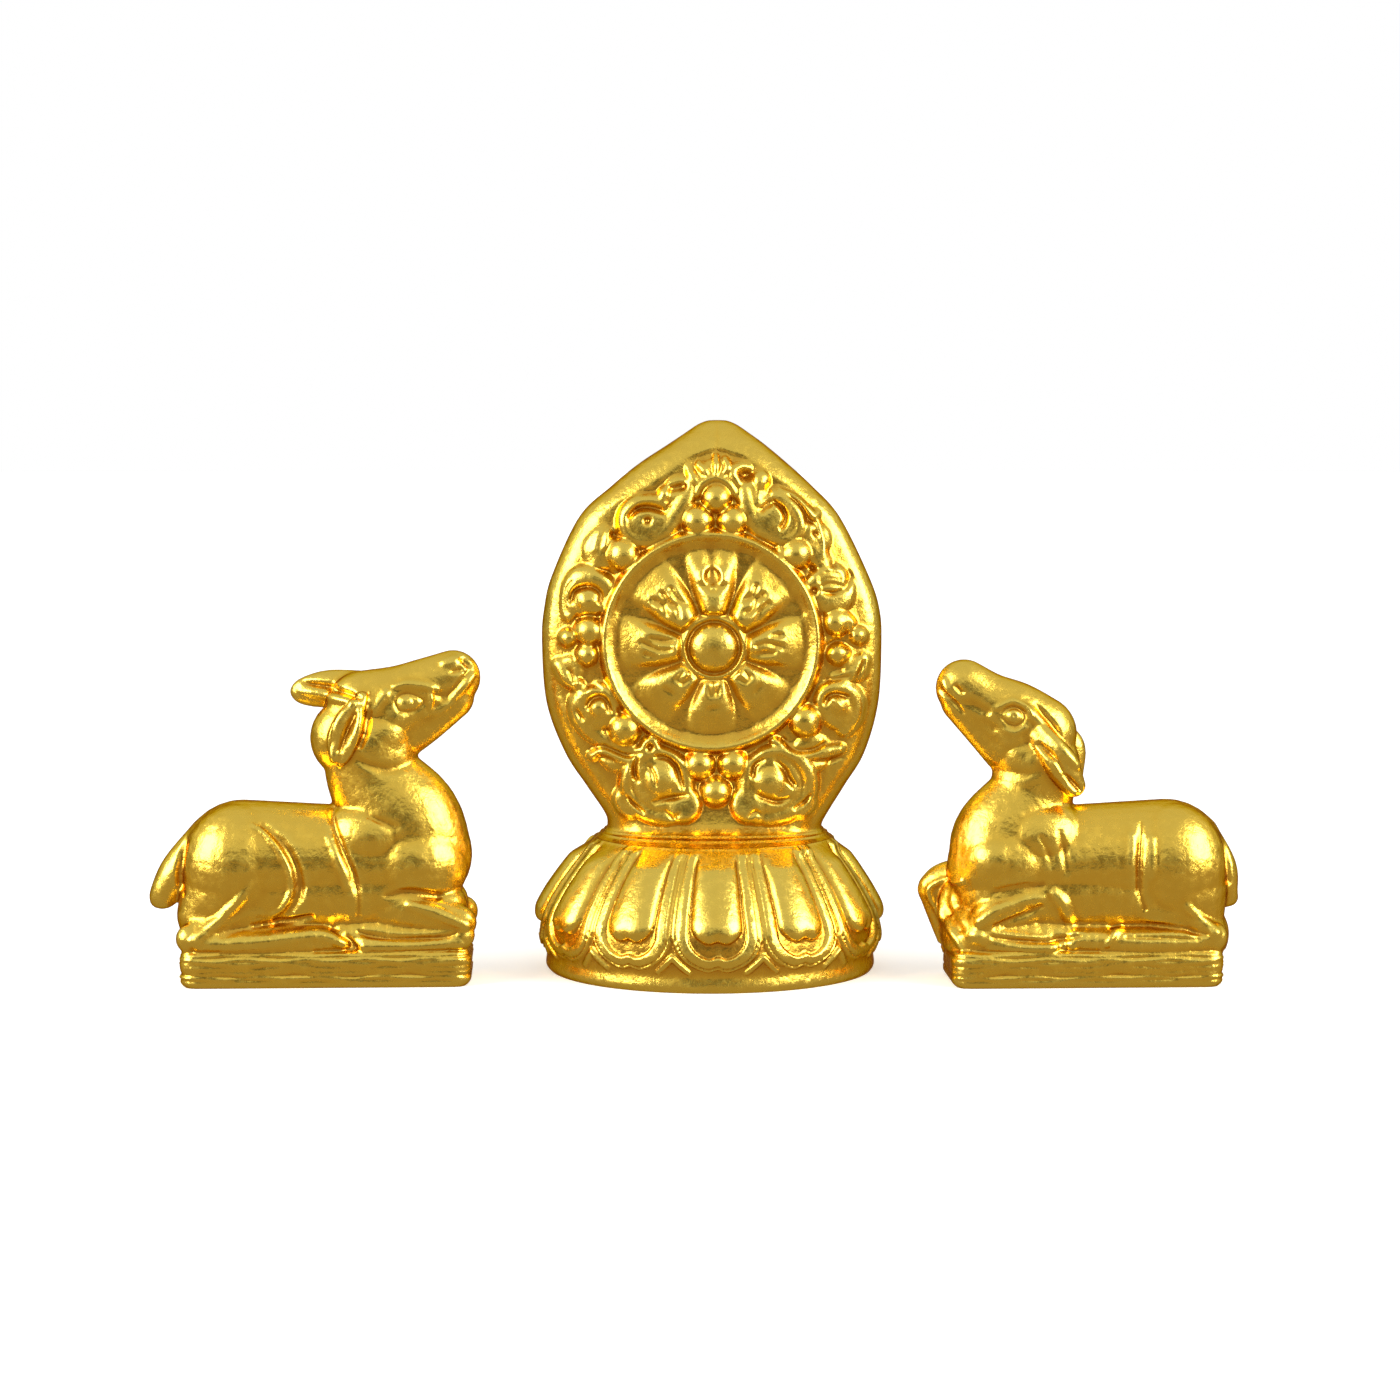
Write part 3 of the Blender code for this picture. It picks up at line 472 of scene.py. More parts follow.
def disc_lift(x, z):
    """The wheel: a rounded rim round a dish, eight puffed spokes that flare outwards, and a hub."""
    away = np.hypot(x - DISC_CENTRE[0], z - DISC_CENTRE[1])
    shift = 1.0 - smooth_step(*CENTRE_SHIFT, away)
    dx = x - DISC_CENTRE[0] - (HUB_CENTRE[0] - DISC_CENTRE[0]) * shift
    dz = z - DISC_CENTRE[1] - (HUB_CENTRE[1] - DISC_CENTRE[1]) * shift
    near = np.hypot(dx, dz)
    lift = DISH_FLOOR + DISH_SLOPE_RISE * smooth_step(*DISH_SLOPE, near)
    lift += DISH_WALL_RISE * smooth_step(*DISH_WALL, away)
    pitch = math.tau / SPOKE_COUNT
    spoke = np.floor((np.arctan2(dx, dz) % math.tau) / pitch + 0.5).astype(int) % SPOKE_COUNT
    for number, (scoop_depth, height, marks) in enumerate(SPOKES):
        found = np.flatnonzero((spoke == number) & (near < SPOKE_REACH))
        turn = number * pitch
        across = dx[found] * math.cos(turn) - dz[found] * math.sin(turn)
        along = dx[found] * math.sin(turn) + dz[found] * math.cos(turn)
        side = np.abs(across)
        half = np.interp(along, SPOKE_OUTLINE[0], SPOKE_OUTLINE[1])
        puff = np.clip(1.0 - (side / half) ** 2.4, 0.0, 1.0) ** 0.6
        droop = np.interp(along, DROOP_WAY, DROOP)
        scoop = scoop_depth * np.exp(-((side / SCOOP_HALF_WIDTH) ** 2)) * smooth_step(*SCOOP_START, along)
        lift[found] += height * puff * droop * smooth_step(*SPOKE_START, along) - scoop * droop
        for route in marks:
            lift[found] -= pressed(across, along, route)
    lift = np.maximum(lift, bead(near, *COLLAR))
    lift = np.where(near < HUB_BALL[1], HUB_EDGE + bead(near, *HUB_BALL), lift)
    groove_radius, groove_width, groove_depth = HUB_GROOVE
    lift -= groove_depth * np.exp(-(((near - groove_radius) / groove_width) ** 2))
    lift += RIM_RISE * bead(away, RIM_RADIUS, RIM_HALF_WIDTH, 1.0) ** 2
    return lift - RIM_DROP * smooth_step(RIM_RADIUS + RIM_SIDE[0], RIM_RADIUS + RIM_SIDE[1], away)


def plaque_lift(x, z):
    """Height of the carving on the front of the plaque, above its smooth pillowed face."""
    edge = np.array(CARVED_EDGE)
    left = np.interp(z, edge[:, 0], edge[:, 1])
    right = np.interp(z, edge[:, 0], edge[:, 2])
    inside = np.minimum(x - left, right - x)
    ground = -GROUND_DEPTH * smooth_step(*GROUND_SLOPE, inside)
    raised = np.zeros(len(x))
    for route in RAISED_STROKES:
        fuller = 1.0 if len(route) == 1 else SCROLL_FULLNESS
        rows = [(px, pz, half_width * fuller, height) for px, pz, half_width, height in route]
        raised = np.maximum(raised, pressed(x, z, rows))
    for px, pz, radius, height in PADS:
        pad = np.sqrt(np.clip(1.0 - (np.hypot(x - px, z - pz) / radius) ** 5, 0.0, 1.0))
        raised = np.maximum(raised, height * pad)
    cut = np.zeros(len(x))
    for route in CUT_STROKES:
        cut = np.maximum(cut, pressed(x, z, route, soft=True))
    border = ground + raised - cut
    away = np.hypot(x - DISC_CENTRE[0], z - DISC_CENTRE[1])
    disc = disc_lift(x, z)
    border = np.where(away < RIM_RADIUS + RIM_REACH, np.maximum(border, disc), border)
    return np.where(away < RIM_RADIUS, disc, border)


def finished(mesh, triangles, place, yaw_deg):
    """Thins the mesh, cuts its underside flat at the ground and moves it to its place, in metres."""
    mesh.calc_loop_triangles()
    count = len(mesh.loop_triangles)
    if count > triangles:
        mesh = worked(mesh, "DECIMATE", ratio=triangles / count)
    bm = bmesh.new()
    bm.from_mesh(mesh)
    bmesh.ops.triangulate(bm, faces=bm.faces)
    everything = bm.verts[:] + bm.edges[:] + bm.faces[:]
    cut = bmesh.ops.bisect_plane(
        bm, geom=everything, dist=CUT_TOLERANCE, plane_co=(0, 0, FLAT_CUT), plane_no=(0, 0, 1),
        clear_inner=True,
    )
    for item in cut["geom_cut"]:
        if isinstance(item, bmesh.types.BMVert):
            item.co.z = FLAT_CUT
    rim = [item for item in cut["geom_cut"] if isinstance(item, bmesh.types.BMEdge)]
    bmesh.ops.triangle_fill(bm, edges=rim, use_beauty=True, use_dissolve=False)
    bmesh.ops.recalc_face_normals(bm, faces=bm.faces)
    bmesh.ops.translate(bm, verts=bm.verts, vec=(0, 0, -FLAT_CUT))
    bmesh.ops.rotate(bm, verts=bm.verts, matrix=Matrix.Rotation(math.radians(yaw_deg), 3, "Z"))
    bmesh.ops.translate(bm, verts=bm.verts, vec=place)
    bmesh.ops.scale(bm, verts=bm.verts, vec=(METRES_PER_MM,) * 3)
    done = as_mesh(bm, "done")
    done.shade_smooth()
    return done


# How many times the copy that shows up hollows is softened, and the depth that counts as a full one
HOLLOW_PASSES = 14
HOLLOW_DEPTH = 0.5


def add_hollow(mesh):
    """A value at each point for the painted shade: above a half in hollows, below it on edges, from a
    softened copy.
    """
    points = coordinates(mesh)
    edges = np.empty(len(mesh.edges) * 2, dtype=np.int64)
    mesh.edges.foreach_get("vertices", edges)
    first, second = edges.reshape(-1, 2).T
    count = np.bincount(first, minlength=len(points)) + np.bincount(second, minlength=len(points))
    count = np.maximum(count, 1)
    soft = points.copy()
    for _ in range(HOLLOW_PASSES):
        soft = np.column_stack([
            (np.bincount(first, weights=soft[second, axis], minlength=len(points))
             + np.bincount(second, weights=soft[first, axis], minlength=len(points))) / count
            for axis in range(3)
        ])
    depth = np.sum((soft - points) * point_normals(mesh), axis=1) / METRES_PER_MM
    value = np.clip(0.5 + depth / HOLLOW_DEPTH, 0.0, 1.0)
    layer = mesh.attributes.new("hollow", "FLOAT", "POINT")
    layer.data.foreach_set("value", value.astype(np.float32))


def linear(hex_colour):
    """An sRGB hex colour as linear numbers."""
    channels = [int(hex_colour[i : i + 2], 16) / 255.0 for i in (1, 3, 5)]
    return [c / 12.92 if c <= 0.04045 else ((c + 0.055) / 1.055) ** 2.4 for c in channels] + [1.0]


def add_node(tree, kind, settings=None, links=None, **inputs):
    """Adds a node: settings are its own, links join its sockets, inputs are socket values."""
    node = tree.nodes.new(kind)
    for name, value in (settings or {}).items():
        setattr(node, name, value)
    for name, value in inputs.items():
        node.inputs[name.replace("_", " ")].default_value = value
    for name, source in (links or {}).items():
        tree.links.new(source, node.inputs[name])
    return node


# Gold leaf laid over a soft-moulded casting: high-gloss metal with fine wrinkles where the leaf
# folded and a little duller where it lies loose, with painted shade that makes the colour warmer
# and browner down in the hollows and a little paler on raised edges
WRINKLES_PER_MM = 0.9
GRAINS_PER_MM = 3.0
gold_leaf = bpy.data.materials.new("gold_leaf")
gold_leaf.use_nodes = True
tree = gold_leaf.node_tree
gold = tree.nodes["Principled BSDF"]
gold.inputs["Metallic"].default_value = 1.0
gold.inputs["Specular Tint"].default_value = linear("#B07830")
place = add_node(tree, "ShaderNodeTexCoord").outputs["Object"]
# Wrinkles of the leaf, a little over a millimetre apart
wrinkle = add_node(
    tree, "ShaderNodeTexNoise", links={"Vector": place},
    Scale=WRINKLES_PER_MM / METRES_PER_MM, Detail=3.0, Roughness=0.6,
)
# Fine casting grain, a third of a millimetre
grain = add_node(
    tree, "ShaderNodeTexNoise", links={"Vector": place},
    Scale=GRAINS_PER_MM / METRES_PER_MM, Detail=2.0, Roughness=0.5,
)
# Painted shade: the hollow value turns the base colour a browner gold down in the hollows and a little paler
# on raised edges
hollow = add_node(tree, "ShaderNodeAttribute", {"attribute_name": "hollow"})
painted_hollow_shade = add_node(tree, "ShaderNodeValToRGB", links={"Fac": hollow.outputs["Fac"]})
painted_hollow_shade.color_ramp.elements[0].position = 0.25
painted_hollow_shade.color_ramp.elements[0].color = linear("#FFDC60")
painted_hollow_shade.color_ramp.elements[1].position = 0.9
painted_hollow_shade.color_ramp.elements[1].color = linear("#E2AA3C")
middle_stop = painted_hollow_shade.color_ramp.elements.new(0.55)
middle_stop.color = linear("#FFD250")
tree.links.new(painted_hollow_shade.outputs["Color"], gold.inputs["Base Color"])
dull = add_node(
    tree, "ShaderNodeMapRange", links={"Value": wrinkle.outputs["Fac"]},
    **{"From Min": 0.35, "From Max": 0.7, "To Min": 0.2, "To Max": 0.34},
)
tree.links.new(dull.outputs["Result"], gold.inputs["Roughness"])
fine = add_node(
    tree, "ShaderNodeBump", links={"Height": grain.outputs["Fac"]}, Strength=0.12, Distance=0.0001
)
coarse = add_node(
    tree, "ShaderNodeBump", links={"Height": wrinkle.outputs["Fac"], "Normal": fine.outputs["Normal"]},
    Strength=0.35, Distance=0.0003,
)
tree.links.new(coarse.outputs["Normal"], gold.inputs["Normal"])


def gilded(name, mesh):
    """Puts the finished mesh in the scene as the piece that stands for the CAD casting."""
    mesh.name = name
    add_hollow(mesh)
    mesh.materials.clear()
    mesh.materials.append(gold_leaf)
    piece = bpy.data.objects.new(name, mesh)
    bpy.context.scene.collection.objects.link(piece)
    return piece


# Heights where the petals end and the plaque begins, and where its carving is at full height
BASE_TOP = 18.0
PLAQUE_FOOT = 18.6
CARVING_FULL = 20.0
# The carving dies out towards the side edge, from this share of the half width on
CARVING_SIDE = 0.93
# Rings round the neck: height, half width and rise
NECK_RINGS = ((18.75, 0.09, 0.22), (18.35, 0.09, 0.2), (17.75, 0.12, 0.15))

fine_rows = through(WHEEL_STATIONS, STATION_SAMPLES)
steps = np.hypot(np.diff(fine_rows[:, 0]), np.diff(fine_rows[:, 2]))
length = np.concatenate([[0.0], np.cumsum(steps)])
wanted = np.linspace(0.0, length[-1], WHEEL_ROWS)
rows = np.array([np.interp(wanted, length, fine_rows[:, column]) for column in range(6)]).T
bm = bmesh.new()
column = [bm.verts.new((1.0, 0.0, height)) for height in rows[:, 0]]
for lower, upper in zip(column, column[1:]):
    bm.edges.new((lower, upper))
bmesh.ops.spin(
    bm, geom=bm.verts[:] + bm.edges[:], cent=(0, 0, 0), axis=(0, 0, 1), angle=math.tau,
    steps=WHEEL_COLUMNS, use_merge=True,
)
bmesh.ops.holes_fill(bm, edges=bm.edges, sides=0)
bmesh.ops.recalc_face_normals(bm, faces=bm.faces)
mesh = as_mesh(bm, "wheel_grid")
points = coordinates(mesh)
turn = np.arctan2(-points[:, 1], -points[:, 0]) % math.tau
column_index = np.rint(turn / math.tau * WHEEL_COLUMNS).astype(int) % WHEEL_COLUMNS
row_index = np.rint(np.interp(points[:, 2], rows[:, 0], np.arange(WHEEL_ROWS))).astype(int)
sections = np.array([section_points(*row[1:5]) for row in rows])
points[:, :2] = sections[row_index, column_index]
x, y, z = points.T
reach = np.hypot(x, y) + 1e-6
out = petal_lift(x, y, z - FLAT_CUT) * (z < BASE_TOP)
front = (y < 0.0) & (z > PLAQUE_FOOT)
lift = np.zeros(len(x))
middle = rows[row_index, 5]
lift[front] = plaque_lift((x + middle)[front], z[front] - FLAT_CUT)
grid = np.zeros((WHEEL_ROWS, WHEEL_COLUMNS))
grid[row_index, column_index] = lift
lift = eased(grid, LEAF_SOFTENING)[row_index, column_index]
lift *= smooth_step(1.0, CARVING_SIDE, np.abs(x) / rows[row_index, 1])
lift *= smooth_step(PLAQUE_FOOT, CARVING_FULL, z)
rings = np.zeros(len(x))
for height, half_width, rise in NECK_RINGS:
    rings += rise * bead(z, height, half_width, 1.0) ** 2
points = np.column_stack([x * (1.0 + out / reach) + middle, y * (1.0 + out / reach) - lift, z + rings])
set_coordinates(mesh, points)
wheel = gilded("gilded_wheel_on_lotus_base", finished(mesh, WHEEL_TRIANGLES, (WHEEL_X, 0, 0), 0.0))
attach(wheel, "root")
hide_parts("wheel_on_lotus_base")


# The deer on the left.
# A gilded resin casting of its own: a deer lying on a low plinth with folded legs, its head lifted
# towards the wheel, one ear laid back along its head and the near ear hanging.
LEFT_DEER_X = -48.2
LEFT_PLINTH_ENDS = (-18.6, 19.2)
LEFT_CHEST = 18.9
LEFT_KNEE = 19.6
LEFT_TAIL_TIP = -22.9
# Sizes that both deer share
DEER_Y = -10.8
DEER_YAW_DEG = 2.5
DEER_VOXEL = 0.22
DEER_SOFTEN = 10
DEER_EASING = 3
DEER_TRIANGLES = 190000
PLINTH_DEPTH = 14.4
PLINTH_MOULDINGS = ((0.0, 2.7), (2.35, 4.9))
PLINTH_CORNER = 2.4
PLINTH_EDGE = 0.95
PLINTH_LOWEST_EDGE = 1.7
PLINTH_LINE_WIDTH = 0.2
# Each row: height, sway, phase and depth
PLINTH_LINES = (
    (4.3, 0.05, 0.0, 0.34),
    (3.75, 0.1, 1.1, 0.22),
    (3.2, 0.08, 2.4, 0.26),
    (1.95, 0.09, 3.6, 0.42),
    (1.35, 0.07, 5.0, 0.3),
)
RUMP_OVERHANG = 0.7
LIMB_SAMPLES = 6
# Ways to work the skin: up or down, whether the edges run out softly, and on which sides
BOTH_SIDES = (-1, 1)
NEAR_SIDE = (-1,)
RAISE = (1.0, True, BOTH_SIDES)
CUT = (-1.0, True, BOTH_SIDES)
DOME = (1.0, False, BOTH_SIDES)
RAISE_NEAR = (1.0, True, NEAR_SIDE)
CUT_NEAR = (-1.0, True, NEAR_SIDE)
# How far the skin turns sideways where a touch starts to bite and where it bites in full
SIDEWAYS = (0.05, 0.45)


def ball(bm, centre, radii):
    """An egg-shaped lump with its own half sizes."""
    one = bmesh.new()
    matrix = Matrix.Translation(centre) @ Matrix.Diagonal((*radii, 1.0))
    bmesh.ops.create_uvsphere(one, u_segments=28, v_segments=16, radius=1.0, matrix=matrix)
    lump = as_mesh(one, "lump")
    bm.from_mesh(lump)
    bpy.data.meshes.remove(lump)


def limb(bm, stations, flat=1.0):
    """A tapering limb: overlapping balls along a route of rows x, y, z, radius."""
    for x, y, z, radius in through(stations, LIMB_SAMPLES * len(stations)):
        ball(bm, (x, y, z), (radius, radius * flat, radius))


def deer_body(bm, rump_x, chest_x):
    """What both deer share: trunk, haunches, shoulders and folded hind legs, facing +X."""
    limb(bm, ((-10.5, 0, 15.7, 8.3), (0.0, 0, 15.6, 7.8), (10.5, 0, 15.3, 7.5)), 0.84)
    limb(bm, ((-12.0, 0, 12.3, 6.0), (0.0, 0, 12.3, 6.2), (11.0, 0, 12.3, 6.0)), 1.05)
    limb(bm, ((-14.2, 0, 6.4, 4.8), (0.0, 0, 6.2, 4.4), (14.0, 0, 6.4, 4.8)), 1.35)
    for side in (-1, 1):
        ball(bm, (-11.0, 1.4 * side, 15.3), (7.4, 6.0, 8.4))
        ball(bm, (chest_x - 7.4, 1.3 * side, 15.6), (7.2, 5.6, 6.7))
        ball(bm, (6.2, 1.5 * side, 19.2), (6.6, 5.0, 5.2))
        limb(bm, ((-12.2, 0.9 * side, 12.2, 6.4), (rump_x + 4.6, 1.6 * side, 9.2, 4.4)), 0.92)
        limb(bm, ((-8.0, 3.9 * side, 10.4, 2.6), (rump_x + 3.6, 4.6 * side, 7.2, 2.2)), 0.9)
        limb(bm, ((rump_x + 2.3, 5.3 * side, 6.6, 1.9), (-8.0, 5.5 * side, 6.0, 1.7),
                  (2.0, 5.6 * side, 6.4, 1.4)), 0.9)


def folded_foreleg(bm, side, knee_x):
    limb(bm, ((8.2, 3.2 * side, 10.6, 3.2), (12.0, 4.4 * side, 10.0, 2.6),
              (knee_x - 1.9, 4.8 * side, 8.5, 2.1)), 0.9)
    limb(bm, ((knee_x - 1.8, 5.2 * side, 6.8, 1.8), (5.5, 5.5 * side, 5.7, 1.4)), 0.9)
    ball(bm, (knee_x - 4.0, 2.2 * side, 10.2), (3.0, 3.4, 3.0))


def tail(bm, tip_x):
    middle = (tip_x - 14.6) / 2.0
    limb(bm, ((-15.2, 0, 19.4, 2.4), (middle, 0, 15.0, 2.5), (tip_x + 2.2, 0, 11.9, 2.0),
              (tip_x + 1.3, 0, 11.0, 1.2)))


def carve(mesh, touches):
    """Raises, cuts or domes the skin where a tool is drawn along the sides of the figure."""
    points = coordinates(mesh)
    normals = point_normals(mesh)
    total = np.zeros(len(points))
    for (way, soft, sides), route in touches:
        lift = pressed(points[:, 0], points[:, 2], route, soft=soft)
        weight = np.zeros(len(points))
        for side in sides:
            weight = np.maximum(weight, smooth_step(*SIDEWAYS, normals[:, 1] * side))
        total += way * lift * weight
    set_coordinates(mesh, points + normals * total[:, None])


def score_plinth(mesh):
    """Rough lines the hand left along the mouldings of the plinth."""
    points = coordinates(mesh)
    x, y, z = points.T
    depth = np.zeros(len(x))
    for height, sway, phase, deep in PLINTH_LINES:
        line = height + sway * (np.sin(0.45 * x + phase) + 0.5 * np.sin(1.3 * x + 2.0 * phase + 0.2 * y))
        uneven = 0.7 + 0.3 * np.sin(0.8 * x + 3.0 * phase)
        depth = np.maximum(depth, deep * uneven * np.exp(-(((z - line) / PLINTH_LINE_WIDTH) ** 2)))
    set_coordinates(mesh, points - point_normals(mesh) * depth[:, None])


def rounded_off(bm, edges, offset, segments):
    bmesh.ops.bevel(
        bm, geom=edges, offset=offset, segments=segments, affect="EDGES", profile=0.5, material=-1
    )


def deer_mesh(ends, chest_x, own_lumps, touches, facing, place):
    """Lumps fused into one skin, softened as wax would be, then worked over with small tools."""
    bm = bmesh.new()
    for low, high in PLINTH_MOULDINGS:
        made = bmesh.ops.create_cube(bm, size=1.0)
        bmesh.ops.scale(bm, verts=made["verts"], vec=(ends[1] - ends[0], PLINTH_DEPTH, high - low))
        middle = ((ends[0] + ends[1]) / 2.0, 0, (low + high) / 2.0)
        bmesh.ops.translate(bm, verts=made["verts"], vec=middle)
    upright = [edge for edge in bm.edges if abs(edge.verts[0].co.z - edge.verts[1].co.z) > 1.0]
    rounded_off(bm, upright, PLINTH_CORNER, 6)
    level = [edge for edge in bm.edges if abs(edge.verts[0].co.z - edge.verts[1].co.z) < 0.01]
    lowest = [edge for edge in level if edge.verts[0].co.z < 0.01]
    others = [edge for edge in level if edge.verts[0].co.z >= 0.01]
    rounded_off(bm, others, PLINTH_EDGE, 5)
    rounded_off(bm, lowest, PLINTH_LOWEST_EDGE, 7)
    deer_body(bm, ends[0] - RUMP_OVERHANG, chest_x)
    own_lumps(bm)
    mesh = as_mesh(bm, "lumps")
    mesh = worked(mesh, "REMESH", mode="VOXEL", voxel_size=DEER_VOXEL)
    mesh = worked(mesh, "SMOOTH", factor=0.5, iterations=DEER_SOFTEN)
    carve(mesh, touches)
    score_plinth(mesh)
    mesh = worked(mesh, "SMOOTH", factor=0.5, iterations=DEER_EASING)
    bm = bmesh.new()
    bm.from_mesh(mesh)
    if facing < 0:
        bmesh.ops.scale(bm, verts=bm.verts, vec=(-1, 1, 1))
        bmesh.ops.reverse_faces(bm, faces=bm.faces)
    bm.to_mesh(mesh)
    bm.free()
    return finished(mesh, DEER_TRIANGLES, place, DEER_YAW_DEG)


def left_deer_lumps(bm):
    """Neck, head, jaw and ears, then the forelegs and the tail."""
    limb(bm, ((11.7, 0, 16.8, 7.5), (10.2, 0, 21.0, 7.6), (6.6, 0, 26.4, 6.2), (5.9, 0, 31.0, 6.2)), 0.78)
    limb(bm, ((16.8, 0, 39.8, 3.6), (13.4, 0, 38.3, 4.1), (9.8, 0, 36.5, 4.9), (5.4, 0, 35.6, 5.2)), 0.74)
    limb(bm, ((16.4, 0, 37.4, 3.2), (12.8, 0, 34.3, 3.2), (9.5, 0, 32.6, 3.8)), 0.74)
    ball(bm, (3.7, 0, 32.0), (5.5, 4.3, 5.4))
    limb(bm, ((4.6, 1.6, 38.4, 2.3), (0.6, 2.2, 38.2, 2.5), (-2.3, 2.6, 37.9, 1.9),
              (-3.6, 2.8, 37.8, 1.0)), 0.7)
    limb(bm, ((5.2, -3.7, 37.0, 1.3), (3.6, -4.6, 33.6, 1.9), (2.3, -4.6, 30.2, 1.1)), 0.75)
    for side in BOTH_SIDES:
        folded_foreleg(bm, side, LEFT_KNEE)
    tail(bm, LEFT_TAIL_TIP)


